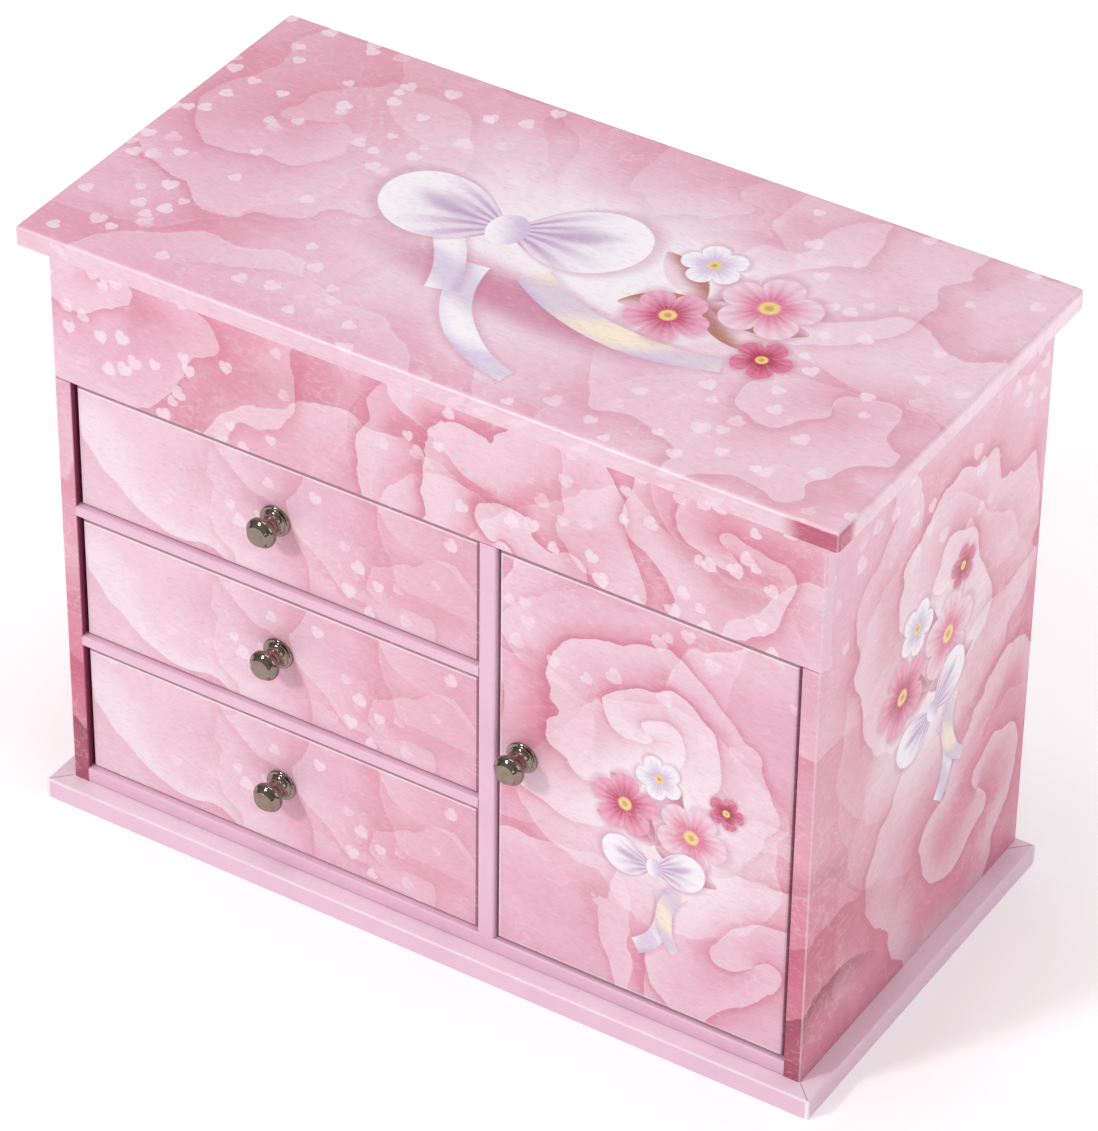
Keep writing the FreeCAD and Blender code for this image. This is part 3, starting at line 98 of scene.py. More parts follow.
# spacing of the rubbed marks on metal
SCRATCH_MM = 0.35
# the floor is a square of this side, in metres
FLOOR_SIDE = 12.0
# name, place, point aimed at and side in metres, power in watts and spread in degrees
LIGHTS = (
    ("key_light", (-0.75, -1.5, 1.25), (0.0, 0.0, 0.1), 0.28, 14.8, 180.0),
    ("fill_light", (1.5, -0.5, 0.9), (0.0, 0.0, 0.1), 0.9, 3.8, 180.0),
    ("top_light", (0.0, 0.05, 2.0), (0.0, 0.051, 0.0), 1.0, 13.2, 180.0),
    ("left_floor_light", (-0.55, 0.95, 0.9), (-0.55, 0.951, 0.0), 0.7, 6.0, 70.0),
    ("right_floor_light", (0.55, 0.95, 0.9), (0.55, 0.951, 0.0), 0.7, 6.0, 70.0),
    ("side_floor_light", (0.9, 0.25, 0.9), (0.9, 0.251, 0.0), 0.6, 2.8, 60.0),
)
ALONG_Y, AGAINST_Y = (0, 1, 0), (0, -1, 0)
UPWARDS, DOWNWARDS = (0, 0, 1), (0, 0, -1)


def box_mm(node):
    """Lowest and highest corner of a CAD node, in millimetres."""
    low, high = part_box(node)
    return np.array(low) / MM, np.array(high) / MM


def middle_mm(node):
    low, high = box_mm(node)
    return (low + high) / 2


def corners_mm(node):
    """Every corner of a CAD node's mesh, in millimetres."""
    mesh = NODES[node].data
    flat = np.empty(len(mesh.vertices) * 3)
    mesh.vertices.foreach_get("co", flat)
    return flat.reshape(-1, 3) / MM


def linear(red, green, blue):
    """A colour given as it looks on a screen, 0 to 255, as the linear values that shaders take."""
    screen = np.array((red, green, blue)) / 255
    light = np.where(screen <= 0.04045, screen / 12.92, ((screen + 0.055) / 1.055) ** 2.4)
    return (*[float(part) for part in light], 1.0)


RIBBON_SHADOW = linear(190, 112, 146)


class Amount:
    """One number of a node tree, which adds, multiplies and compares like an ordinary number."""

    def __init__(self, tree, socket):
        self.tree = tree
        self.socket = socket

    def math(self, operation, *others):
        node = self.tree.nodes.new("ShaderNodeMath")
        node.operation = operation
        for socket, value in zip(node.inputs, (self, *others)):
            connect(self.tree, value, socket)
        return Amount(self.tree, node.outputs[0])

    __add__ = __radd__ = partialmethod(math, "ADD")
    __mul__ = __rmul__ = partialmethod(math, "MULTIPLY")
    __sub__ = partialmethod(math, "SUBTRACT")
    __truediv__ = partialmethod(math, "DIVIDE")
    __abs__ = partialmethod(math, "ABSOLUTE")
    sin = partialmethod(math, "SINE")
    cos = partialmethod(math, "COSINE")
    root = partialmethod(math, "SQRT")
    power = partialmethod(math, "POWER")
    least = partialmethod(math, "MINIMUM")
    most = partialmethod(math, "MAXIMUM")

    def __rsub__(self, other):
        return self * -1.0 + other

    def fade(self, start, end):
        """0 up to start, 1 from end on, with a smooth rise between; start may be the larger one."""
        node = self.tree.nodes.new("ShaderNodeMapRange")
        node.interpolation_type = "SMOOTHSTEP"
        self.tree.links.new(self.socket, node.inputs["Value"])
        node.inputs["From Min"].default_value = start
        node.inputs["From Max"].default_value = end
        return Amount(self.tree, node.outputs["Result"])


def connect(tree, value, socket):
    """Give a socket a number, a colour, a printing ink by its name, or another node's output."""
    if isinstance(value, str):
        socket.default_value = (*getattr(bpy.context.scene.chest_paper, value), 1.0)
    elif isinstance(value, Amount):
        tree.links.new(value.socket, socket)
    elif isinstance(value, bpy.types.NodeSocket):
        tree.links.new(value, socket)
    else:
        socket.default_value = value


def joined(tree, x, y, z=0.0):
    """Three numbers as one vector."""
    node = tree.nodes.new("ShaderNodeCombineXYZ")
    for socket, value in zip(node.inputs, (x, y, z)):
        connect(tree, value, socket)
    return node.outputs[0]


def grain(tree, vector, scale, detail=2.0, roughness=0.5):
    """Cloudy noise between 0 and 1 at a vector."""
    node = tree.nodes.new("ShaderNodeTexNoise")
    tree.links.new(vector, node.inputs["Vector"])
    node.inputs["Scale"].default_value = scale
    node.inputs["Detail"].default_value = detail
    node.inputs["Roughness"].default_value = roughness
    return Amount(tree, node.outputs["Fac"])


def blended(tree, share, first, second):
    """The first colour where share is 0 and the second where it is 1."""
    node = tree.nodes.new("ShaderNodeMix")
    node.data_type = "RGBA"
    connect(tree, share, node.inputs["Factor"])
    connect(tree, first, node.inputs["A"])
    connect(tree, second, node.inputs["B"])
    return node.outputs["Result"]


def new_material(name):
    """An empty node material with its shader and the place of a point on the object in millimetres."""
    material = bpy.data.materials.new(name)
    material.use_nodes = True
    tree = material.node_tree
    shader = tree.nodes["Principled BSDF"]
    place = tree.nodes.new("ShaderNodeTexCoord").outputs["Object"]
    scale = tree.nodes.new("ShaderNodeVectorMath")
    scale.operation = "SCALE"
    tree.links.new(place, scale.inputs[0])
    scale.inputs["Scale"].default_value = 1 / MM
    return material, tree, shader, scale.outputs["Vector"]


def bump(tree, shader, height, depth_mm):
    """Raise the surface by a height between 0 and 1."""
    node = tree.nodes.new("ShaderNodeBump")
    node.inputs["Strength"].default_value = 1.0
    node.inputs["Distance"].default_value = depth_mm * MM
    connect(tree, height, node.inputs["Height"])
    tree.links.new(node.outputs["Normal"], shader.inputs["Normal"])


class Paper:
    """A board's printed face: two directions across it in millimetres, and the colour laid so far."""

    def __init__(self, name, across, up, middle=(0.0, 0.0), seed=0.0, top=None, wrap=None):
        self.material, self.tree, self.shader, place = new_material(name)
        self.place = place
        split = self.tree.nodes.new("ShaderNodeSeparateXYZ")
        self.tree.links.new(place, split.inputs[0])
        self.axis = {letter: Amount(self.tree, split.outputs[letter.upper()]) for letter in "xyz"}
        self.u = self.axis[across] - float(middle[0])
        self.v = self.axis[up] - float(middle[1])
        if top is not None:
            down = float(top) - self.axis["z"]
            self.u = self.u + down * self.u.math("SIGN")
            self.v = self.v + down * self.v.math("SIGN")
        if wrap is not None:
            self.u = self.u - (float(wrap) - abs(self.axis["x"]))
        self.seed = seed
        self.rough_edge = self.cloud(7.0, 4.0, 11.0) * 3.6 - 1.8
        self.wave_u = self.u + (self.cloud(46.0, 2.0, 21.0) * 40.0 - 20.0)
        self.wave_v = self.v + (self.cloud(52.0, 2.0, 31.0) * 40.0 - 20.0)
        self.colour = "pink"

    def cloud(self, size_mm, detail=2.0, offset=0.0):
        """Noise across the face, with patches about size_mm wide."""
        vector = joined(self.tree, self.u, self.v, self.seed + offset)
        return grain(self.tree, vector, 1.0 / size_mm, detail)

    def lay(self, colour, share):
        """Paint a colour over the face where share is above 0."""
        self.colour = blended(self.tree, share, self.colour, colour)

    def from_point(self, centre, angle=0.0, waved=False):
        """Distances across and up from a point, in directions turned by an angle."""
        a = (self.wave_u if waved else self.u) - centre[0]
        b = (self.wave_v if waved else self.v) - centre[1]
        if not angle:
            return a, b
        c, s = math.cos(angle), math.sin(angle)
        return a * c + b * s, b * c - a * s


def length(a, b):
    return (a * a + b * b).root()


def wash(paper):
    """Cloudy watercolour ground from pale to rose, with streaks of the brush."""
    paper.lay("pale", paper.cloud(64.0, 3.0, 1.0).fade(0.44, 0.7) * 0.75)
    paper.lay("rose", paper.cloud(80.0, 3.0, 2.0).fade(0.5, 0.74) * 0.65)
    across = paper.wave_u * 0.2 + paper.wave_v * 0.9
    slant = joined(paper.tree, across, paper.wave_v * 0.12, paper.seed + 4.0)
    streak = grain(paper.tree, slant, 0.05, 3.0, 0.6)
    paper.lay("white", streak.fade(0.55, 0.7) * 0.3)
    paper.lay("deep", streak.fade(0.42, 0.28) * 0.22)


def petal(
    paper, centre, radius, depth, body="pink", edge="pale", shade="rose", strength=1.0, squash=1.0
):
    """A painted petal: a waved ellipse with a torn rim, paint inside and a thin shadow outside it."""
    a, b = paper.from_point(centre, waved=True)
    reach = length(a, b / squash) - radius + paper.rough_edge
    inside = reach.fade(0.4, -0.4)
    paper.lay(shade, reach.fade(depth * 0.5, 0.0) * (1.0 - inside) * (0.5 * strength))
    tone = blended(paper.tree, reach.fade(-depth, 0.0) * 0.85, body, edge)
    paper.lay(tone, inside * (0.72 * strength))
    paper.lay("white", reach.fade(-1.2, -0.3) * inside * (0.2 * strength))


def bloom(paper, centre, period, strength, turn=0.0):
    """Folded petals: distance from a point, grown with the turn round it, is cut into torn steps."""
    a, b = paper.from_point(centre, turn, waved=True)
    far = length(a, b)
    arms = b.math("ARCTAN2", a) / math.pi
    step = (far + paper.rough_edge) / period + arms + paper.cloud(40.0, 2.0, 71.0) * 1.4
    share = step.math("FRACT")
    reach = far.fade(period * 3.4, period * 1.8) * strength
    paper.lay("pale", share.fade(0.3, 0.95) * reach * 0.75)
    paper.lay("rose", share.fade(0.5, 0.0) * reach * 0.7)
    paper.lay("deep", share.fade(0.2, 0.0) * reach * 0.55)


def glow(paper, centre, reach_u, reach_v, strength, colour="white"):
    """A soft pale halo."""
    a, b = paper.from_point(centre, waved=True)
    far = length(a / reach_u, b / reach_v)
    paper.lay(colour, far.fade(1.0, 0.1) * strength)


def hearts(paper, cell_mm, size_mm, where, seed, strength):
    """Small hearts, one to a cell.

    Inside a heart, across squared plus up squared less 1, all cubed, is less than across squared
    times up cubed.
    """
    tree = paper.tree
    cells = tree.nodes.new("ShaderNodeTexVoronoi")
    cells.voronoi_dimensions = "2D"
    cells.inputs["Scale"].default_value = 1.0
    cells.inputs["Randomness"].default_value = 0.8
    u = paper.u / cell_mm + seed
    v = paper.v / cell_mm + seed * 0.37
    tree.links.new(joined(tree, u, v), cells.inputs["Vector"])
    at = tree.nodes.new("ShaderNodeSeparateXYZ")
    tree.links.new(cells.outputs["Position"], at.inputs[0])
    chance = tree.nodes.new("ShaderNodeSeparateColor")
    tree.links.new(cells.outputs["Color"], chance.inputs[0])
    spin, grow, keep = (Amount(tree, chance.outputs[i]) for i in range(3))
    scale = cell_mm / size_mm
    a = (u - Amount(tree, at.outputs["X"])) * scale
    b = (v - Amount(tree, at.outputs["Y"])) * scale
    turn = spin * 2.2 - 1.1
    c, s = turn.cos(), turn.sin()
    larger = grow * 0.5 + 0.8
    across = (a * c + b * s) / larger
    up = (b * c - a * s) / larger + 0.2
    square = across * across
    core = square + up * up - 1.0
    shape = core * core * core - square * up * up * up
    heart = shape.fade(0.04, -0.04)
    paper.lay(linear(250, 232, 241), heart * keep.fade(0.44, 0.48) * where * strength)


def ribbon(paper, centre, radius, start, sweep, width, tone="white"):
    """A satin ribbon along an arc: how far round gives its folds, how far from the arc its edges."""
    a, b = paper.from_point(centre, start)
    round_angle = b.math("ARCTAN2", a)
    share = round_angle.math("WRAP", 2 * math.pi, 0.0) / sweep
    across = (length(a, b) - radius) / (width / 2)
    slim = 1.0 - share.fade(0.55, 1.0) * 0.35
    inside = (abs(across) / slim).fade(1.04, 0.96) * share.fade(1.012, 1.0)
    fold = (share * 9.0 + across * 0.9).sin().fade(-0.9, 0.9)
    paper.lay(RIBBON_SHADOW, (abs(across) / slim).fade(1.7, 1.0) * share.fade(1.03, 1.0) * 0.3)
    satin = blended(paper.tree, fold * 0.75 + across.fade(0.2, 1.0) * 0.3, tone, "lilac")
    paper.lay(satin, inside)


def bow(paper, knot, reach, angle):
    """A ribbon bow: each loop is a lobe of a polar curve, pleated towards the knot."""
    a, b = paper.from_point(knot, angle)
    side = abs(a)
    round_angle = (b - side * 0.22).math("ARCTAN2", side)
    far = length(a, b)
    lobe = (round_angle * 1.75).cos().most(0.0).power(0.55) * reach
    pleat = (round_angle * 21.0 + far * 0.12).sin().fade(-0.8, 1.0)
    shade = far.fade(reach * 0.95, 0.0) * 0.5 + pleat * far.fade(reach * 0.9, reach * 0.15) * 0.55
    satin = blended(paper.tree, shade, "white", linear(198, 160, 200))
    paper.lay(RIBBON_SHADOW, (far - lobe).fade(reach * 0.16, 0.0) * 0.4)
    paper.lay(satin, (far - lobe).fade(0.3, -0.3))
    below = b - side * 0.3 + reach * 0.03
    hollow = length((side - reach * 0.5) / (reach * 0.36), below / (reach * 0.12))
    paper.lay(linear(188, 158, 196), hollow.fade(1.0, 0.15) * 0.7)
    gleam = length((side - reach * 0.7) / (reach * 0.2), (b - side * 0.5) / (reach * 0.1))
    paper.lay("white", gleam.fade(1.0, 0.2) * (far - lobe).fade(0.3, -0.3) * 0.8)
    centre = length(a / (reach * 0.15), b / (reach * 0.19))
    knot_tone = blended(paper.tree, (a / (reach * 0.15) + b * 0.04).fade(-0.9, 0.9), "white", "lilac")
    paper.lay(knot_tone, centre.fade(1.03, 0.95))


def blossom(paper, centre, radius, angle, inner, outer, petals=5):
    """An open flower: the rim is a rosette curve, and each petal is shaded from its root outwards."""
    a, b = paper.from_point(centre, angle)
    far = length(a, b)
    round_angle = b.math("ARCTAN2", a)
    scallop = abs((round_angle * (petals / 2)).cos()).power(0.45)
    rim = scallop * (radius * 0.42) + radius * 0.58
    paper.lay(linear(186, 100, 134), (far - rim).fade(radius * 0.25, 0.0) * 0.35)
    share = far / rim
    vein = (round_angle * (petals * 4.0)).sin().fade(-1.0, 1.0) * 0.18
    tone = blended(paper.tree, share.fade(0.1, 0.95) - vein, inner, outer)
    paper.lay(tone, share.fade(1.02, 0.97))
    paper.lay(inner, scallop.fade(0.5, 0.1) * share.fade(1.0, 0.7) * share.fade(0.2, 0.5) * 0.6)
    paper.lay(linear(244, 214, 130), (far / radius).fade(0.24, 0.16))
    paper.lay("tan", (far / radius).fade(0.12, 0.05) * 0.7)


def leaf(paper, foot, reach, angle, colour):
    """A slim leaf: the space between two bows that meet at its foot and its tip."""
    a, b = paper.from_point(foot, angle)
    along = a / reach
    slim = (along * math.pi).sin().most(0.0).power(0.8) * (reach * 0.2)
    inside = (abs(b) - slim).fade(0.25, -0.25) * along.fade(0.0, 0.02) * along.fade(1.0, 0.98)
    tone = blended(paper.tree, (b / (reach * 0.2)).fade(-0.6, 0.6), colour, "pale")
    paper.lay(tone, inside * 0.95)


def fibres(paper):
    """Fine noise of the paper itself, through the board's space."""
    return grain(paper.tree, paper.place, 2.6, 3.0, 0.6)


def finish_paper(paper, plain=None, gloss=0.36, edge=None):
    """Brush marks, ridges of paint, fibres and varnish; plain is 1 on the plain sides, and edge on the
    sides that take painted shade.
    """
    tree = paper.tree
    brush = grain(tree, joined(tree, paper.u * 0.35, paper.v, paper.seed), 0.9, 4.0, 0.65)
    paper.lay("deep", brush.fade(0.48, 0.8) * 0.24)
    paper.lay("white", brush.fade(0.48, 0.22) * 0.24)
    ridge = abs(paper.cloud(8.0, 5.0, 51.0) - 0.5).fade(0.03, 0.0)
    ridge = ridge * paper.cloud(42.0, 1.0, 61.0).fade(0.46, 0.6)
    paper.lay("white", ridge * 0.16)
    fibre = fibres(paper)
    if plain is not None:
        paper.lay(blended(tree, fibre.fade(0.35, 0.7), "plain", "plain_dark"), plain)
    # painted shade on the narrow sides that face the gaps
    if edge is not None:
        paper.lay("reveal", edge)
    varnish(paper, fibre, fibre * 0.4 + brush * 0.4 + ridge * 0.5, gloss)
    return paper.material


def varnish(paper, fibre, height, gloss):
    """Satin coat over the paper's colour."""
    paper.tree.links.new(paper.colour, paper.shader.inputs["Base Color"])
    connect(paper.tree, fibre * 0.1 + (gloss - 0.05), paper.shader.inputs["Roughness"])
    paper.shader.inputs["Coat Weight"].default_value = 0.12
    paper.shader.inputs["Coat Roughness"].default_value = 0.28
    bump(paper.tree, paper.shader, height, 0.03)


def lid_print():
    """Lid: wide petals, a pale halo with a ribbon bow and blossoms, and drifts of hearts."""
    low, high = box_mm("lid_board")
    paper = Paper("lid_print", "x", "y", seed=3.0, top=high[2])
    wash(paper)
    petal(paper, (-150.0, 10.0), 74.0, 40.0, edge="pink", strength=0.8)
    petal(paper, (-20.0, 100.0), 96.0, 50.0, squash=0.8)
    petal(paper, (140.0, 74.0), 88.0, 46.0, body="pale")
    petal(paper, (130.0, -104.0), 92.0, 44.0, body="pale", edge="pink", strength=0.8)
    petal(paper, (-70.0, -130.0), 84.0, 40.0, strength=0.7)
    bloom(paper, (-96.0, 26.0), 32.0, 0.45)
    bloom(paper, (118.0, -22.0), 44.0, 0.5, 1.0)
    bloom(paper, (40.0, 60.0), 36.0, 0.4, 2.0)
    paper.lay("rose", (paper.v - paper.u * 0.3).fade(10.0, 70.0) * 0.42)
    paper.lay("rose", paper.v.fade(-40.0, -80.0) * 0.16)
    paper.lay("pale", paper.cloud(90.0, 2.0, 7.0).fade(0.3, 0.7) * 0.22)
    glow(paper, (2.0, 2.0), 128.0, 84.0, 0.9, linear(246, 232, 243))
    glow(paper, (18.0, 0.0), 84.0, 52.0, 0.8)
    away = length(*paper.from_point((6.0, 0.0))).fade(58.0, 76.0)
    drift = paper.cloud(64.0, 1.0, 5.0).fade(0.44, 0.56)
    hearts(paper, 11.5, 2.1, drift * away, 4.0, 0.7)
    hearts(paper, 17.0, 2.0, away, 9.0, 0.6)
    a, b = paper.from_point((4.0, -27.0), -0.12)
    shadow = length(a / 78.0, b / 17.0)
    paper.lay(linear(200, 100, 140), shadow.fade(1.0, 0.2) * 0.75)
    ribbon(paper, (34.0, -14.0), 50.0, math.radians(-176), 1.3, 10.0)
    ribbon(paper, (-78.0, -50.0), 62.0, math.radians(14), 0.9, 10.0)
    ribbon(paper, (48.0, 50.0), 78.0, math.radians(-126), 0.98, 11.0, "cream")
    leaves = ((0.5, 34.0), (1.0, 28.0), (-2.6, 27.0), (2.5, 30.0), (-0.6, 28.0), (0.05, 36.0))
    for angle, reach in leaves:
        leaf(paper, (54.0, 3.0), reach, angle, linear(182, 118, 92))
    blossom(paper, (72.0, 11.0), 17.0, 0.4, linear(226, 120, 158), "pale")
    blossom(paper, (48.0, -9.0), 14.0, 1.2, linear(198, 74, 114), linear(240, 178, 202))
    blossom(paper, (46.0, 22.0), 11.0, 2.0, "lilac", "white")
    blossom(paper, (84.0, -14.0), 10.0, 0.1, linear(180, 44, 82), linear(226, 130, 160))
    bow(paper, (-18.0, 4.0), 46.0, 0.16)
    # paler narrow sides, with a painted highlight along the upper edge
    rim = rim_tone_and_highlight(paper, low, high)
    corner = (float(high[0]) - paper.axis["x"] + paper.rough_edge).fade(20.0, 12.0)
    corner = corner * (paper.axis["y"] - float(low[1]) + paper.rough_edge).fade(11.0, 6.0)
    paper.lay(linear(186, 56, 98), corner * rim * 0.9)
    plain = paper.axis["z"].fade(low[2] + 0.1, low[2] + 0.05)
    return finish_paper(paper, plain, gloss=0.33)


def rim_tone_and_highlight(paper, low, high, tone="pale"):
    """A tone on a flat board's narrow sides, and a painted highlight along the upper edge; 1 on those
    sides.
    """
    middle, half = (low + high) / 2, (high - low) / 2
    over_x = abs(paper.axis["x"] - float(middle[0])) - float(half[0])
    over_y = abs(paper.axis["y"] - float(middle[1])) - float(half[1])
    over = over_x.most(over_y)
    sides = over.fade(-0.7, -0.1)
    paper.lay(tone, sides * 0.6)
    # painted highlight along the upper edge, broken by cloudy patches
    painted_highlight = over.fade(-0.9, -0.3) * paper.axis["z"].fade(high[2] - 0.9, high[2] - 0.3)
    paper.lay("white", painted_highlight * (paper.cloud(9.0, 3.0, 91.0) * 0.5 + 0.2))
    return sides


def fascia_print():
    """Upper front: overlapping petals with torn rims, hearts at both ends."""
    low, high = box_mm("front_fascia")
    paper = Paper("fascia_print", "x", "z", (0.0, (low[2] + high[2]) / 2), seed=17.0)
    wash(paper)
    paper.lay("rose", abs(paper.u + 62.0).fade(46.0, 8.0) * 0.55)
    petal(paper, (-24.0, -74.0), 78.0, 34.0, shade="deep", strength=0.9)
    petal(paper, (44.0, 66.0), 72.0, 34.0)
    petal(paper, (12.0, -40.0), 34.0, 18.0, body="pale", strength=0.8)
    petal(paper, (78.0, -66.0), 74.0, 28.0)
    petal(paper, (128.0, 44.0), 52.0, 28.0, body="rose", edge="pink", shade="deep", strength=0.8)
    petal(paper, (152.0, -40.0), 46.0, 26.0)
    bloom(paper, (26.0, -24.0), 24.0, 0.8)
    bloom(paper, (-112.0, 20.0), 30.0, 0.5, 2.0)
    bloom(paper, (112.0, 8.0), 26.0, 0.6, 4.0)
    drift = paper.cloud(46.0, 1.0, 8.0).fade(0.42, 0.54)
    hearts(paper, 11.5, 2.0, drift, 2.0, 0.7)
    hearts(paper, 16.0, 2.0, abs(paper.u).fade(40.0, 60.0), 6.0, 0.6)
    corner_rub_and_highlight(paper)
    return finish_paper(paper, behind(paper, low[1] + WRAP_MM))


def behind(paper, y):
    """1 on those parts of a board that lie farther back than y."""
    return paper.axis["y"].fade(y, y + 0.2)


def corner_rub_and_highlight(paper):
    """Paper rubbed white on the upright front corners, which also serves as a painted highlight on the
    corner.
    """
    half = box_mm("front_fascia")[1][0]
    front = box_mm("front_fascia")[0][1]
    corner = abs(paper.axis["x"]).fade(half - 0.75, half - 0.3)
    corner = corner * paper.axis["y"].fade(front + 0.75, front + 0.3)
    paper.lay(linear(253, 240, 246), corner * (paper.cloud(9.0, 3.0, 41.0) * 0.7 + 0.05))


def drawer_print(name):
    """Drawer front: slanting pale bands with torn edges and a drift of hearts, alike on each drawer."""
    low, high = box_mm(f"{name}_drawer_front")
    paper = Paper(f"{name}_drawer_print", "x", "z", ((low + high) / 2)[[0, 2]], seed=29.0)
    paper.lay("pale", paper.u.fade(30.0, -60.0) * 0.55)
    wash(paper)
    bands = ((-70.0, 30.0, "pale", "white"), (4.0, 40.0, "pink", "pale"), (62.0, 30.0, "pink", "pale"))
    for start, width, tone, edge in bands:
        slant = (paper.wave_u - start) * 0.75 + paper.wave_v * 1.2 + paper.rough_edge
        tint = blended(paper.tree, slant.fade(0.0, width * 0.7), edge, tone)
        paper.lay("rose", slant.fade(-12.0, 0.0) * slant.fade(0.5, 0.0) * 0.3)
        paper.lay(tint, slant.fade(0.0, 0.8) * slant.fade(width, width * 0.4) * 0.65)
    petal(paper, (78.0, 30.0), 44.0, 24.0, strength=0.45)
    bloom(paper, (44.0, -14.0), 30.0, 0.32, 3.0)
    paper.lay("pale", paper.cloud(26.0, 3.0, 6.0).fade(0.36, 0.62) * 0.4)
    paper.lay("rose", (paper.u - paper.v).fade(-40.0, 80.0) * 0.24)
    hearts(paper, 11.5, 2.0, paper.cloud(40.0, 1.0, 3.0).fade(0.42, 0.54), 3.0, 0.65)
    plain = behind(paper, low[1] + WRAP_MM)
    return finish_paper(paper, plain, edge=edge_highlight_and_shadow(paper, low, high, 1.55))


def edge_highlight_and_shadow(paper, low, high, shadow_line_mm):
    """Painted highlights on the rims and under the top, and a painted shadow line at the top and right;
    1 on the narrow sides behind the round edge, which take painted shade.
    """
    half = (high - low) / 2
    over = (abs(paper.u) - float(half[0])).most(abs(paper.v) - float(half[2]))
    # painted highlight along the rims of the front
    paper.lay("white", over.fade(-0.9, -0.4) * (paper.cloud(12.0, 3.0, 95.0) * 0.5 + 0.1))
    from_top = float(half[2]) - paper.v
    from_right = float(half[0]) - paper.u
    # painted highlight just below the painted shadow line
    paper.lay("white", from_top.fade(shadow_line_mm + 1.0, shadow_line_mm + 0.4) * 0.6)
    # painted shadow line at the top and right, where the gaps round the board fall dark
    line = from_top.fade(shadow_line_mm + 0.2, shadow_line_mm - 0.1).most(from_right.fade(1.2, 0.9))
    paper.lay("reveal", line * 0.8)
    return over.fade(-0.3, -0.1) * paper.axis["y"].fade(low[1] + 0.3, low[1] + 0.55)


def door_print():
    """Door: petals folding round a halo with a spray of blossoms tied by a ribbon."""
    low, high = box_mm("door_panel")
    paper = Paper("door_print", "x", "z", ((low + high) / 2)[[0, 2]], seed=43.0)
    wash(paper)
    petal(paper, (-8.0, 64.0), 44.0, 24.0)
    petal(paper, (44.0, 40.0), 40.0, 20.0)
    petal(paper, (-56.0, 8.0), 34.0, 18.0, body="rose", edge="pink", shade="deep", strength=0.7)
    petal(paper, (50.0, -58.0), 44.0, 20.0, shade="deep")
    petal(paper, (-40.0, -70.0), 40.0, 22.0)
    petal(paper, (4.0, -6.0), 44.0, 20.0, strength=0.7)
    bloom(paper, (-6.0, 22.0), 19.0, 0.9, 1.0)
    bloom(paper, (34.0, -52.0), 22.0, 0.6, 3.0)
    glow(paper, (4.0, -8.0), 50.0, 56.0, 0.95)
    drift = paper.v.fade(26.0, 40.0) * paper.cloud(30.0, 1.0, 2.0).fade(0.4, 0.5)
    hearts(paper, 9.5, 2.2, drift, 5.0, 0.5)
    spray(paper, (4.0, -14.0), 1.0, 0.0)
    plain = behind(paper, low[1] + DOOR_WRAP_MM)
    return finish_paper(paper, plain, edge=edge_highlight_and_shadow(paper, low, high, 0.95))


def spray(paper, centre, scale, angle):
    """Blossoms, leaves, a bow and two ribbon tails about a point, turned and scaled together."""

    def at(x, y):
        c, s = math.cos(angle), math.sin(angle)
        return centre[0] + scale * (x * c - y * s), centre[1] + scale * (x * s + y * c)

    width = 6.0 * scale
    ribbon(paper, at(-16.0, -26.0), 20.0 * scale, angle + math.radians(-60), 1.5, width)
    ribbon(paper, at(22.0, -28.0), 18.0 * scale, angle + math.radians(130), 1.6, width, "cream")
    for turn, reach in ((0.4, 27.0), (1.3, 29.0), (2.2, 28.0), (2.9, 22.0), (-0.3, 24.0)):
        leaf(paper, at(0.0, 0.0), reach * scale, angle + turn, linear(200, 128, 146))
    flowers = (
        ((-11.0, 12.0), 12.0, 0.3, linear(196, 66, 108), linear(240, 170, 196)),
        ((13.0, 9.0), 13.0, 1.1, linear(224, 116, 152), "pale"),
        ((1.0, 27.0), 8.5, 2.0, "lilac", "white"),
        ((25.0, 24.0), 6.5, 0.0, linear(172, 40, 76), linear(222, 122, 152)),
    )
    for place, radius, turn, inner, outer in flowers:
        blossom(paper, at(*place), radius * scale, angle + turn, inner, outer)
    bow(paper, at(0.0, -9.0), 19.0 * scale, angle + 0.1)


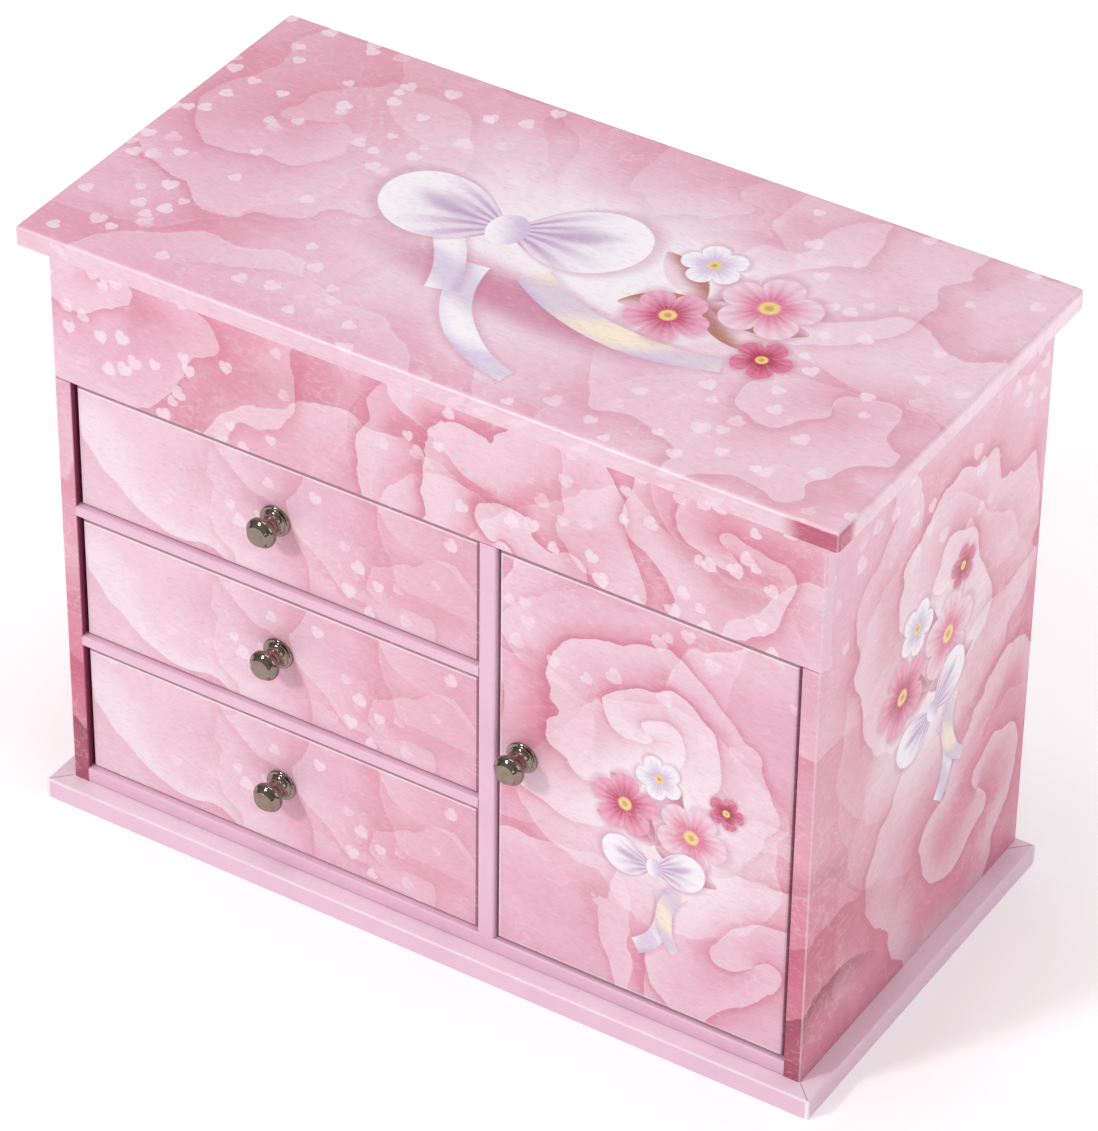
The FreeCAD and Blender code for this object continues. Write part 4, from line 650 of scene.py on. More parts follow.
def side_print(side):
    """Side board: petals round a halo, a spray of blossoms, and deep folds at the front foot."""
    low, high = box_mm(f"{side}_side_panel")
    seed = 57.0 if side == "right" else 71.0
    outer_x = max(abs(low[0]), abs(high[0]))
    paper = Paper(f"{side}_side_print", "y", "z", ((low + high) / 2)[[1, 2]], seed, wrap=outer_x)
    wash(paper)
    petal(paper, (30.0, 84.0), 64.0, 30.0)
    petal(paper, (-60.0, 70.0), 52.0, 26.0)
    petal(paper, (74.0, -30.0), 52.0, 28.0, body=linear(214, 116, 148), edge="rose", shade="deep")
    petal(paper, (52.0, -110.0), 70.0, 30.0, body="rose", edge="pink", shade="deep")
    petal(paper, (-74.0, -92.0), 58.0, 30.0, body="deep", edge="rose", shade="crimson")
    petal(paper, (0.0, 6.0), 58.0, 26.0, squash=1.15, strength=0.7)
    paper.lay("rose", paper.v.fade(100.0, -40.0) * 0.55)
    bloom(paper, (6.0, 34.0), 24.0, 0.9)
    bloom(paper, (34.0, -66.0), 30.0, 0.8, 2.0)
    glow(paper, (0.0, 6.0), 48.0, 64.0, 0.8)
    drift = paper.v.fade(44.0, 60.0) * paper.cloud(34.0, 1.0, 2.0).fade(0.36, 0.5)
    hearts(paper, 10.0, 2.3, drift, 7.0, 0.55)
    spray(paper, (0.0, 2.0), 1.2, 0.35)
    corner_folds(paper)
    corner_rub_and_highlight(paper)
    # the inner face is plain, with painted shade where it lines the openings
    inner_x = min(abs(low[0]), abs(high[0]))
    inner = abs(paper.axis["x"]).fade(inner_x + 0.6, inner_x + 0.3)
    inner = inner * paper.axis["y"].fade(low[1] + 0.3, low[1] + 0.6)
    return finish_paper(paper, inner, edge=inner * paper.axis["y"].fade(low[1] + 9.0, low[1] + 8.0))


def corner_folds(paper):
    """Crimson petal folds that wrap round the foot of the front corner."""
    low, high = box_mm("right_side_panel")
    foot = -(high[2] - low[2]) / 2
    a, b = paper.from_point((-(high[1] - low[1]) / 2, foot))
    folds = ((70.0, 30.0, "deep", 0.8), (46.0, 12.0, "crimson", 0.85), (32.0, 16.0, "rose", 0.85))
    for reach, width, tone, share in folds:
        wander = paper.cloud(30.0, 2.0, 81.0) * 16.0
        sweep = length(a - 18.0, b + 16.0) - reach + paper.rough_edge + wander - 8.0
        paper.lay(tone, sweep.fade(-width, 0.0) * sweep.fade(0.8, -0.2) * a.fade(58.0, 14.0) * share)
    stile_foot = (b + paper.rough_edge).fade(34.0, 4.0)
    paper.lay("crimson", stile_foot * paper.axis["y"].fade(low[1] + 1.0, low[1] + 0.4) * 0.75)


def back_print():
    """Back board: the watercolour ground and a few wide petals."""
    low, high = box_mm("back_panel")
    paper = Paper("back_print", "x", "z", ((low + high) / 2)[[0, 2]], seed=83.0)
    wash(paper)
    petal(paper, (-80.0, 70.0), 96.0, 44.0)
    petal(paper, (96.0, -60.0), 104.0, 44.0)
    petal(paper, (20.0, 110.0), 80.0, 36.0, body="pale", edge="white")
    bloom(paper, (-70.0, -20.0), 34.0, 0.7)
    bloom(paper, (80.0, 30.0), 30.0, 0.6, 2.0)
    hearts(paper, 10.5, 2.4, paper.cloud(50.0, 1.0, 4.0).fade(0.46, 0.56), 8.0, 0.5)
    plain = paper.axis["y"].fade(high[1] - 1.0, high[1] - 1.2)
    return finish_paper(paper, plain)


def plain_paper(name, colour, shade, gloss=0.36):
    """Plain satin paper with a faint mottle."""
    paper = Paper(name, "x", "z", seed=5.0)
    paper.colour = colour
    mottle(paper, shade)
    fibre = fibres(paper)
    varnish(paper, fibre, fibre, gloss)
    return paper.material


def mottle(paper, shade):
    """Faint cloudy patches that run through the board's space, so that they turn its corners."""
    patch = grain(paper.tree, paper.place, 0.05, 3.0, 0.6)
    speckle = grain(paper.tree, paper.place, 0.8, 2.0, 0.6)
    paper.lay(shade, patch.fade(0.4, 0.8) * 0.5)
    paper.lay(shade, speckle.fade(0.5, 0.8) * 0.35)


def base_paper():
    """Base board: plain paper folded over the edge, with mitred folds rubbed white at the tips."""
    paper = Paper("base_paper", "x", "y", seed=6.0)
    paper.colour = "base"
    mottle(paper, linear(238, 202, 220))
    low, high = box_mm("base_board")
    side = float(box_mm("right_side_panel")[1][0])
    over_x = abs(paper.axis["x"]) - side
    reach = float(high[0]) - side
    over_y = abs(paper.axis["y"] - float(low[1] + high[1]) / 2) - float(high[1] - low[1]) / 2 + reach
    fold = abs(over_x - over_y).fade(0.45, 0.12) * over_x.fade(-0.4, 0.4) * over_y.fade(-0.4, 0.4)
    paper.lay(linear(190, 122, 152), fold * 0.75)
    # darker narrow sides, with a painted highlight along the upper edge
    rim_tone_and_highlight(paper, low, high, "plain_dark")
    paper.lay(linear(255, 248, 251), (over_x + over_y).fade(2 * reach - 1.6, 2 * reach - 0.5) * 0.9)
    speck = grain(paper.tree, paper.place, 0.33, 1.0).fade(0.8, 0.84)
    paper.lay(linear(170, 98, 122), speck * 0.5)
    fibre = fibres(paper)
    varnish(paper, fibre, fibre, 0.34)
    return paper.material


def darker(colour, share):
    """A colour with only a share of its light."""
    return tuple(part * share for part in colour)


def velvet(name, colour, crush):
    """Short pile: a fine nap, lighter where it is brushed the other way, and a soft sheen."""
    material, tree, shader, place = new_material(name)
    nap = grain(tree, place, 1.9, 3.0, 0.7)
    stretch = tree.nodes.new("ShaderNodeVectorMath")
    stretch.operation = "MULTIPLY"
    tree.links.new(place, stretch.inputs[0])
    stretch.inputs[1].default_value = (0.4, 1.0, 1.0)
    brushed = grain(tree, stretch.outputs["Vector"], 0.11, 4.0, 0.6)
    tone = blended(tree, brushed.fade(0.3, 0.75) * 0.7, (*colour, 1.0), (*crush, 1.0))
    shaded = blended(tree, nap.fade(0.3, 0.75) * 0.35, tone, (*darker(colour, 0.6), 1.0))
    tree.links.new(shaded, shader.inputs["Base Color"])
    shader.inputs["Roughness"].default_value = 0.92
    shader.inputs["Sheen Weight"].default_value = 0.7
    shader.inputs["Sheen Roughness"].default_value = 0.4
    shader.inputs["Sheen Tint"].default_value = linear(255, 214, 230)
    bump(tree, shader, nap, 0.12)
    return material


def metal(name, colour, stain, roughness):
    """Plated or bare metal: slightly clouded, with fine rubbed marks."""
    material, tree, shader, place = new_material(name)
    cloud = grain(tree, place, 0.35, 3.0, 0.6)
    mark = grain(tree, place, 1 / SCRATCH_MM, 2.0, 0.5)
    tone = blended(tree, cloud.fade(0.4, 0.75) * 0.6, (*colour, 1.0), (*stain, 1.0))
    tree.links.new(tone, shader.inputs["Base Color"])
    shader.inputs["Metallic"].default_value = 1.0
    connect(tree, cloud * 0.08 + mark * 0.05 + (roughness - 0.06), shader.inputs["Roughness"])
    bump(tree, shader, mark, 0.004)
    return material


def dress(nodes, material):
    """Give CAD nodes one material."""
    for name in nodes:
        mesh = NODES[name].data
        mesh.materials.clear()
        mesh.materials.append(material)


def put(name, grids, body, material, crease=40.0):
    """One object from grids of points in millimetres; points that fall together are merged."""
    points, quads, start = [], [], 0
    for grid in grids:
        rows, columns = grid.shape[:2]
        index = start + np.arange(rows * columns).reshape(rows, columns)
        corners = (index[:-1, :-1], index[:-1, 1:], index[1:, 1:], index[1:, :-1])
        quads.append(np.stack(corners, axis=-1).reshape(-1, 4))
        points.append(grid.reshape(-1, 3))
        start += rows * columns
    mesh = bpy.data.meshes.new(name)
    mesh.from_pydata((np.concatenate(points) * MM).tolist(), [], np.concatenate(quads).tolist())
    work = bmesh.new()
    work.from_mesh(mesh)
    bmesh.ops.remove_doubles(work, verts=work.verts, dist=1e-6)
    bmesh.ops.recalc_face_normals(work, faces=work.faces)
    work.to_mesh(mesh)
    work.free()
    mesh.polygons.foreach_set("use_smooth", np.ones(len(mesh.polygons), dtype=bool))
    mesh.set_sharp_from_angle(angle=math.radians(crease))
    mesh.materials.append(material)
    piece = bpy.data.objects.new(name, mesh)
    bpy.context.scene.collection.objects.link(piece)
    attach(piece, body)
    return piece


def bend(centre, radius, start, end, count=8):
    """Points along an arc, from one angle in degrees to another."""
    angle = np.radians(np.linspace(start, end, count))
    return np.stack([centre[0] + radius * np.cos(angle), centre[1] + radius * np.sin(angle)], axis=-1)


def turned(profile, centre, axis, steps=56):
    """A section of radius and height pairs carried once round an axis."""
    axis = np.array(axis, dtype=float)
    first = np.cross(axis, (1.0, 0.0, 0.0) if abs(axis[0]) < 0.9 else (0.0, 1.0, 0.0))
    first /= np.linalg.norm(first)
    second = np.cross(axis, first)
    angle = np.linspace(0.0, 2 * np.pi, steps + 1)
    ring = np.cos(angle)[:, None] * first + np.sin(angle)[:, None] * second
    ring[-1] = ring[0]
    profile = np.asarray(profile, dtype=float)
    return np.asarray(centre) + profile[:, None, :1] * ring[None] + profile[:, None, 1:] * axis


def tube(path, radii, steps=20, flat=1.0):
    """A round section of changing size carried along a path and closed to a point at its ends."""
    path = np.asarray(path, dtype=float)
    along = np.gradient(path, axis=0)
    along /= np.linalg.norm(along, axis=1, keepdims=True)
    side = np.cross(along, (0.0, 1.0, 0.0))
    side /= np.linalg.norm(side, axis=1, keepdims=True)
    front = np.cross(side, along)
    angle = np.linspace(0.0, 2 * np.pi, steps + 1)
    angle[-1] = 0.0
    c, s = np.cos(angle)[None, :, None], np.sin(angle)[None, :, None]
    ring = c * side[:, None] + flat * s * front[:, None]
    skin = path[:, None] + np.asarray(radii)[:, None, None] * ring
    ends = [np.repeat(path[i][None, None], steps + 1, axis=1) for i in (0, -1)]
    return np.concatenate([ends[0], skin, ends[1]])


def smooth_path(corners, count=28):
    """A curve through a few points: each stretch is a cubic with slopes from its neighbours."""
    corners = np.asarray(corners, dtype=float)
    slope = np.gradient(corners, axis=0)
    where = np.linspace(0, len(corners) - 1, count)
    left = np.minimum(where.astype(int), len(corners) - 2)
    t = (where - left)[:, None]
    before, after = corners[left], corners[left + 1]
    return (
        (1 + 2 * t) * (1 - t) ** 2 * before
        + t * (1 - t) ** 2 * slope[left]
        + t**2 * (3 - 2 * t) * after
        + t**2 * (t - 1) * slope[left + 1]
    )


def knob_section(radius, reach):
    """Flange with a rounded rim, waisted neck, and a round head with a bevelled, dished face."""
    section = np.concatenate([
        [(0.0, 0.0), (5.3, 0.0)],
        bend((5.1, 0.5), 0.5, -70, 90),
        [(4.7, 0.92), (4.5, 0.98), (4.35, 1.2)],
        bend((5.3, 3.3), 2.1, 243, 165, 10),
        bend((4.9, 4.7), 1.75, 190, 122, 8),
        bend((3.6, 7.95), 1.8, -72, 62, 18),
        [(4.0, 10.0), (3.7, 10.6), (3.5, 10.8), (1.8, 10.75), (0.0, 10.7)],
    ])
    return section * (radius / KNOB_RADIUS_MM, reach / KNOB_REACH_MM)


def screw_head(centre, axis, radius, height):
    """A domed head with a straight slot: the dome is sunk where it is close to a line across it."""
    bow_angle = np.linspace(0.0, 1.0, 14) * np.pi / 2
    dome = np.stack([radius * np.sin(bow_angle), height * np.cos(bow_angle) ** 0.6], axis=-1)
    head = turned(np.concatenate([dome, [(0.0, 0.0)]]), (0.0, 0.0, 0.0), (0.0, 0.0, 1.0), 40)
    slot = np.abs(head[..., 0]) < radius * 0.13
    head[..., 2] = np.where(slot, np.minimum(head[..., 2], height * 0.45), head[..., 2])
    axis = np.array(axis, dtype=float)
    first = np.cross(axis, (0.36, 0.48, 0.8))
    first /= np.linalg.norm(first)
    second = np.cross(axis, first)
    return np.asarray(centre) + head[..., :1] * first + head[..., 1:2] * second + head[..., 2:] * axis


def around_square(per_side=24):
    """Points round a square from -1 to 1, back to the first."""
    run = np.linspace(-1.0, 1.0, per_side, endpoint=False)
    edge = np.ones_like(run)
    sides = ((run, -edge), (edge, run), (-run, edge), (-edge, -run))
    loop = np.concatenate([np.stack(side, axis=-1) for side in sides])
    return np.concatenate([loop, loop[:1]])


def laid_pad(low, high, look):
    """A thin pad: a round-shouldered section carried round a rectangle, inwards at top and bottom."""
    soft_mm, ripple_mm = look.shoulder / MM, look.ripple / MM
    half = (high - low) / 2
    middle = (high + low) / 2
    tall = half[2] * 2
    reach = half[:2].min()
    turn = np.linspace(0.0, np.pi / 2, 6)
    over_top = np.linspace(soft_mm * 1.5, reach, 14)
    inset = np.concatenate([np.linspace(reach, 0.3, 5), [0.0], soft_mm * (1 - np.cos(turn)), over_top])
    rise = np.concatenate([np.zeros(5), [0.25], tall - soft_mm * (1 - np.sin(turn)), np.full(14, tall)])
    square = around_square()
    size = np.maximum(half[None, :2] - inset[:, None], 0.0)
    flat = middle[:2] + square[None] * size[:, None]
    x, y = flat[..., 0], flat[..., 1]
    wave = np.sin(x * 0.21 + 1.3) * np.sin(y * 0.17) * np.sin(x * 0.07 + y * 0.11)
    height = rise[:, None] + np.where(rise > half[2], 1.0, 0.0)[:, None] * (wave - 1.0) * ripple_mm
    return np.concatenate([flat, low[2] + height[..., None]], axis=-1)


def pad_with_hole(low, high, centre, radius, soft_mm):
    """A thin pad with a round hole: its section runs from the outer edge to the hole's rim and back."""
    angle = np.linspace(0.0, 2 * np.pi, 129)
    ray = np.stack([np.cos(angle), np.sin(angle)], -1)
    ray[-1] = ray[0]
    room = np.where(ray > 0, high[:2] - centre, centre - low[:2])
    outer = ray * np.min(room / np.maximum(np.abs(ray), 1e-9), axis=1, keepdims=True)
    inner = ray * radius
    tall = high[2] - low[2]
    run = np.linspace(0.01, 0.985, 16)
    share = np.concatenate([[0.0, 0.0, 0.0, 0.003], run, [0.995, 1.0, 1.0, 0.5, 0.0]])
    rise = np.concatenate([[0.0, 0.4, 0.8, 0.95], np.ones(16), [0.95, 0.7, 0.0, 0.0, 0.0]]) * tall
    rise[3:21] -= soft_mm * 0.1 * np.sin(np.linspace(0.0, np.pi, 18))
    flat = centre + outer[None] + (inner - outer)[None] * share[:, None, None]
    height = np.broadcast_to(low[2] + rise[:, None, None], (*flat.shape[:2], 1))
    return np.concatenate([flat, height], axis=-1)


def ring_roll(low, high):
    """A plump roll: a flat-bottomed round section carried along it and drawn in at each end."""
    half = (high - low) / 2
    middle = (high + low) / 2
    draw = np.linspace(0.0, np.pi / 2, 9)
    end = 3.2
    inset = end * (1 - np.sin(draw))
    shrink = 1 - (end / half[1]) * (1 - np.cos(draw[::-1])) * 0.9
    span = np.linspace(-half[0] + end, half[0] - end, 22)
    along = np.concatenate([-half[0] + inset, span[1:-1], (half[0] - inset)[::-1]])
    scale = np.concatenate([shrink, np.ones(20), shrink[::-1]])
    scale[0] = scale[-1] = 0.0
    angle = np.linspace(0.0, 2 * np.pi, 49)
    angle[-1] = 0.0
    c, s = np.cos(angle), np.sin(angle)
    y = half[1] * np.sign(c) * np.abs(c) ** 0.72
    z = half[2] * np.sign(s) * np.abs(s) ** np.where(s < 0, 0.35, 0.85)
    sag = 1 - 0.035 * np.sin(along * 0.11) ** 2
    width = (scale * sag)[:, None] * y[None]
    height = np.where(z < 0, 1.0, (scale * sag)[:, None]) * z[None]
    height[0] = height[-1] = 0.0
    x = np.broadcast_to(along[:, None], width.shape)
    return middle + np.stack([x, width, height], axis=-1)


def lay_velvet(name, grid, body, pile):
    """Put down one sheet of velvet on a CAD board."""
    sheet = put(name, [grid], body, pile, crease=SOFT_CREASE)
    return sheet


def tray_velvet(pile, look):
    """Three sheets on the tray's floor, between the dividers; one has a hole for the stop's bush."""
    low, high = box_mm("tray_lining")
    _, bay_right, stage_left = np.unique(corners_mm("tray_dividers")[:, 0].round(3))
    _, split_near, split_far, _ = np.unique(corners_mm("tray_dividers")[:, 1].round(3))
    bays = {
        "ring_bay": ((low[0], low[1]), (bay_right, split_near)),
        "rear_bay": ((low[0], split_far), (bay_right, high[1])),
    }
    for name, (near, far) in bays.items():
        bottom, top = np.array([*near, low[2]]), np.array([*far, high[2]])
        pad = laid_pad(bottom, top, look)
        lay_velvet(f"{name}_velvet", pad, "carcass", pile)
    bottom = np.array([stage_left, low[1], low[2]])
    rod = middle_mm("lid_stop_rod")
    bush = box_mm("tray_bushes")[1][0] - rod[0]
    pad = pad_with_hole(bottom, high, rod[:2], bush + BUSH_GAP_MM, look.shoulder / MM)
    sheet = lay_velvet("stage_velvet", pad, "carcass", pile)
    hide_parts("tray_lining")


def ring_rolls(pile):
    """Plump rolls side by side, which grip rings between them."""
    low, high = box_mm("ring_cushion_rolls")
    width = high[1] - low[1] - ROLL_PITCH_MM * (ROLL_COUNT - 1)
    grids = []
    for index in range(ROLL_COUNT):
        start = low[1] + index * ROLL_PITCH_MM
        near, far = (low[0], start, low[2]), (high[0], start + width, high[2])
        grids.append(ring_roll(np.array(near), np.array(far)))
    rolls = put("ring_rolls", grids, "carcass", pile, crease=SOFT_CREASE)
    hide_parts("ring_cushion_rolls")


def skirt_tier(foot, waist, reach, waves, drop, phase):
    """A gathered ring of net: height falls with the radius squared and ripples towards the hem."""
    angle = np.linspace(0.0, 2 * np.pi, 241)
    angle[-1] = 0.0
    share = np.linspace(0.0, 1.0, 18)[:, None]
    scallop = 0.25 * share**2 * np.sin(angle * waves * 2 + phase)
    radius = WAIST_MM + (reach - WAIST_MM) * share + scallop
    ripple = 0.75 * share**1.4 * np.sin(angle * waves + phase + 0.6 * np.sin(angle * 3))
    height = waist - drop * share**2 + ripple
    x, y = foot[0] + radius * np.cos(angle), foot[1] + radius * np.sin(angle)
    top = np.stack([x, y, height], axis=-1)
    under = top - (0.0, 0.0, 0.06)
    return np.concatenate([top, under[::-1], top[:1]])


def egg(width, height, start=0.0, count=14):
    """Section of an egg: radius and height pairs from its foot, or from an angle on, to its top."""
    turn = np.linspace(start, np.pi, count)
    return np.stack([width * np.sin(turn), height * -np.cos(turn)], axis=-1)


def dancer_grids(foot, hip):
    """Legs, body, arms, head, hair and bun, each a round section carried along a curve."""
    shoulder = hip + TORSO_MM
    head = shoulder + NECK_MM
    standing = smooth_path([
        (0, 0, 0.05), (0.05, 0, 1.2), (0.1, 0, 4.5), (0.1, -0.1, 9.0), (0.1, 0, hip + 0.4)
    ])
    rise = np.linspace(0, 1, len(standing))
    calf = np.sin(np.pi * np.clip(rise * 1.9, 0, 1)) ** 2
    grids = [tube(standing, 0.55 + 0.75 * calf + 1.0 * rise**3)]
    raised = smooth_path([
        (0.4, 0, hip + 0.2), (3.6, -0.6, hip - 4.6), (6.0, -1.0, hip - 8.6),
        (3.6, -1.3, hip - 9.6), (0.9, -1.3, hip - 10.4),
    ])
    lift = np.linspace(0, 1, len(raised))
    calf = np.sin(np.pi * np.clip((lift - 0.55) / 0.4, 0, 1))
    grids.append(tube(raised, 1.35 - 0.62 * lift + 0.28 * calf - 0.25 * lift**8))
    torso = smooth_path([
        (0.1, 0, hip - 0.9), (0.05, 0, hip + 2.0), (0, 0, hip + 4.6), (0, 0, hip + 7.6),
        (0, 0, shoulder), (0, 0, shoulder + 1.2), (0, 0, head - 0.8),
    ], 34)
    stations = [0.0, 0.17, 0.33, 0.52, 0.66, 0.76, 0.84, 1.0]
    girth = [1.5, 1.75, 1.3, 1.95, 2.1, 1.1, 0.72, 0.7]
    grids.append(tube(torso, np.interp(np.linspace(0, 1, len(torso)), stations, girth), 28, 0.78))
    for side in (-1.0, 1.0):
        arm = smooth_path([
            (1.7 * side, 0, shoulder - 0.6), (4.0 * side, -0.2, shoulder + 1.6),
            (4.9 * side, -0.5, shoulder + 4.9), (3.4 * side, -0.8, shoulder + 7.8),
            (0.9 * side, -0.9, shoulder + 9.3),
        ])
        grids.append(tube(arm, np.linspace(0.72, 0.36, len(arm)), 16))
    skull = egg(2.05, 2.5, count=22)
    turn = np.linspace(0.0, np.pi, 22)
    skull[:, 0] *= 1 - 0.13 * np.cos(turn) ** 3 * (turn > np.pi / 2)
    skull[:, 0] *= 1 - 0.2 * np.clip(-skull[:, 1] / 2.5, 0, 1) ** 2
    grids.append(turned(skull, (0, -0.1, head), UPWARDS, 32))
    grids.append(turned(egg(0.26, 0.5, count=8), (0, -2.12, head - 0.25), UPWARDS, 12))
    hair = egg(2.22, 2.35, 0.42, 16)
    crown = np.concatenate([[(0.0, hair[0, 1])], hair])
    tilt = np.array((0.0, -0.42, 0.9)) / math.hypot(0.42, 0.9)
    grids.append(turned(crown, (0, 0.42, head + 0.35), tilt, 32))
    grids.append(turned(egg(1.1, 0.95), (0, 1.1, head + 2.55), UPWARDS, 24))
    return [grid + foot for grid in grids]


def dancer_paint(foot, hip, look):
    """Moulded figure painted in zones by height: shoes, tights, bodice, skin, face and hair."""
    paper = Paper("dancer_paint", "x", "y", (foot[0], foot[1]))
    tree = paper.tree
    z = paper.axis["z"] - float(foot[2])
    leg = float(hip - foot[2])
    head = leg + TORSO_MM + NECK_MM
    paper.colour = (*look.skin, 1.0)
    paper.lay(linear(226, 170, 150), grain(tree, paper.place, 0.5, 2.0).fade(0.4, 0.8) * 0.3)
    paper.lay(linear(246, 216, 222), z.fade(leg + 0.3, leg - 0.1))
    wound = abs((z * 1.6 + paper.u.math("ARCTAN2", paper.v) * 0.9).sin())
    paper.lay((*look.shoes, 1.0), wound.fade(0.2, 0.08) * z.fade(4.2, 4.0) * 0.9)
    paper.lay((*look.shoes, 1.0), z.fade(2.4, 2.2))
    neckline = (z - abs(paper.u) * 0.5).fade(leg + 7.2, leg + 6.9)
    bodice = z.fade(leg - 0.2, leg + 0.1) * neckline * abs(paper.u).fade(2.7, 2.4)
    satin = grain(tree, paper.place, 0.9, 3.0)
    paper.lay(blended(tree, satin.fade(0.3, 0.7), (*look.bodice, 1.0), linear(252, 222, 234)), bodice)
    near = paper.v.fade(-1.0, -1.3) * z.fade(head - 2.4, head - 2.2)
    rise = z - head
    for side in (-0.78, 0.78):
        out = paper.u - side
        eye = length(out / 0.36, (rise - 0.2) / 0.2)
        paper.lay(linear(74, 48, 44), eye.fade(1.0, 0.8) * near)
        brow = length(out / 0.48, (rise - 0.78 + out * out * 0.5) / 0.09)
        paper.lay(linear(120, 78, 56), brow.fade(1.0, 0.7) * near * 0.8)
        cheek = length((paper.u - side * 1.3) / 0.6, (rise + 0.6) / 0.45)
        paper.lay(linear(236, 150, 150), cheek.fade(1.0, 0.2) * near * 0.5)
    lips = length(paper.u / 0.46, (rise + 1.18) / 0.17)
    paper.lay(linear(196, 70, 90), lips.fade(1.0, 0.75) * near)
    back = paper.v + rise * 0.55
    hair_zone = back.fade(0.15, 0.4) * rise.fade(-1.7, -1.4)
    strands = grain(tree, joined(tree, paper.u * 3.0, paper.v * 0.6, z * 0.6), 2.2, 3.0)
    dark_hair = (*darker(look.hair, 0.35), 1.0)
    hair_tone = blended(tree, strands.fade(0.3, 0.7), dark_hair, (*look.hair, 1.0))
    hair_zone = (hair_zone + rise.fade(1.55, 1.75)).least(1.0)
    paper.lay(hair_tone, hair_zone * abs(paper.u).fade(2.6, 2.4) * rise.fade(4.4, 4.3))
    tree.links.new(paper.colour, paper.shader.inputs["Base Color"])
    paper.shader.inputs["Roughness"].default_value = 0.42
    bump(tree, paper.shader, satin, 0.02)
    return paper.material


def satin_plastic(name, colour, shade):
    """Moulded plastic with faint flow marks."""
    material, tree, shader, place = new_material(name)
    flow = grain(tree, place, 0.3, 3.0, 0.6)
    tree.links.new(blended(tree, flow.fade(0.3, 0.7), colour, shade), shader.inputs["Base Color"])
    connect(tree, flow * 0.12 + 0.25, shader.inputs["Roughness"])
    bump(tree, shader, flow, 0.01)
    return material


def skirt_net(colour):
    """Fine net: a weave of thin threads, paler here and there along the weave, with a soft sheen."""
    material, tree, shader, place = new_material("ruffle_net")
    weave = grain(tree, place, 6.0, 2.0)
    tone = blended(tree, weave.fade(0.35, 0.65), (*colour, 1.0), linear(244, 206, 222))
    tree.links.new(tone, shader.inputs["Base Color"])
    shader.inputs["Roughness"].default_value = 0.8
    shader.inputs["Sheen Weight"].default_value = 0.3
    bump(tree, shader, weave, 0.05)
    return material


def studio_floor(context, look):
    """A wide white floor that glows a little, so that shadows on it stay pale."""
    half = FLOOR_SIDE / 2
    corners = [(-half, -half, 0.0), (half, -half, 0.0), (half, half, 0.0), (-half, half, 0.0)]
    mesh = bpy.data.meshes.new("studio_floor")
    mesh.from_pydata(corners, [], [(0, 1, 2, 3)])
    floor = bpy.data.objects.new("studio_floor", mesh)
    context.scene.collection.objects.link(floor)
    material, tree, shader, place = new_material("floor_paper")
    shade = grain(tree, place, 0.004, 2.0)
    colour, tint = (*look.floor_colour, 1.0), (*darker(look.floor_colour, 0.985), 1.0)
    tree.links.new(blended(tree, shade, colour, tint), shader.inputs["Base Color"])
    shader.inputs["Roughness"].default_value = 0.9
    shader.inputs["Emission Color"].default_value = (1.0, 1.0, 1.0, 1.0)
    shader.inputs["Emission Strength"].default_value = look.floor_glow
    mesh.materials.append(material)


def studio_light(context):
    """A pale sky, a key light at the front left, a fill, a light above and three over the floor."""
    world = context.scene.world or bpy.data.worlds.new("studio")
    context.scene.world = world
    world.use_nodes = True
    sky(world.node_tree)
    for name, place, aim, side, power, spread in LIGHTS:
        data = bpy.data.lights.new(name, "AREA")
        data.shape = "SQUARE"
        data.size = side
        data.energy = power
        data.spread = math.radians(spread)
        lamp = bpy.data.objects.new(name, data)
        lamp.location = place
        lamp.rotation_euler = (Vector(aim) - Vector(place)).to_track_quat("-Z", "Y").to_euler()
        context.scene.collection.objects.link(lamp)
    context.scene.view_settings.view_transform = "Standard"


def sky(tree):
    """Pale studio ceiling that falls off to dim walls at the horizon."""
    direction = tree.nodes.new("ShaderNodeSeparateXYZ")
    tree.links.new(tree.nodes.new("ShaderNodeTexCoord").outputs["Generated"], direction.inputs[0])
    height = Amount(tree, direction.outputs["Z"])
    background = tree.nodes["Background"]
    tree.links.new(
        blended(tree, height.fade(0.05, 0.75), linear(196, 191, 193), linear(255, 253, 255)),
        background.inputs["Color"],
    )
    background.inputs["Strength"].default_value = 0.4


def set_camera(context, look):
    """Camera axes from azimuth, elevation and roll; lens and shift from the photograph's sizes."""
    data = bpy.data.cameras.new("camera")
    camera = bpy.data.objects.new("camera", data)
    context.scene.collection.objects.link(camera)
    a, e, r = look.azimuth, look.elevation, look.roll
    back = Vector((math.sin(a) * math.cos(e), -math.cos(a) * math.cos(e), math.sin(e)))
    level = Vector((math.cos(a), math.sin(a), 0.0))
    rise = back.cross(level)
    right = level * math.cos(r) + rise * math.sin(r)
    up = rise * math.cos(r) - level * math.sin(r)
    turn = Matrix((right, up, back)).transposed().to_4x4()
    camera.matrix_world = Matrix.Translation(look.place) @ turn
    longest = max(PHOTO_SIZE)
    data.sensor_width = 36.0
    data.lens = look.focal_pixels * data.sensor_width / longest
    data.shift_x = (PHOTO_SIZE[0] / 2 - look.centre_pixels[0]) / longest
    data.shift_y = (look.centre_pixels[1] - PHOTO_SIZE[1] / 2) / longest
    context.scene.camera = camera


def ink(name, description, red, green, blue):
    """A colour that a user may change."""
    return bpy.props.FloatVectorProperty(
        name=name, description=description, default=linear(red, green, blue)[:3],
        subtype="COLOR", min=0.0, max=1.0,
    )


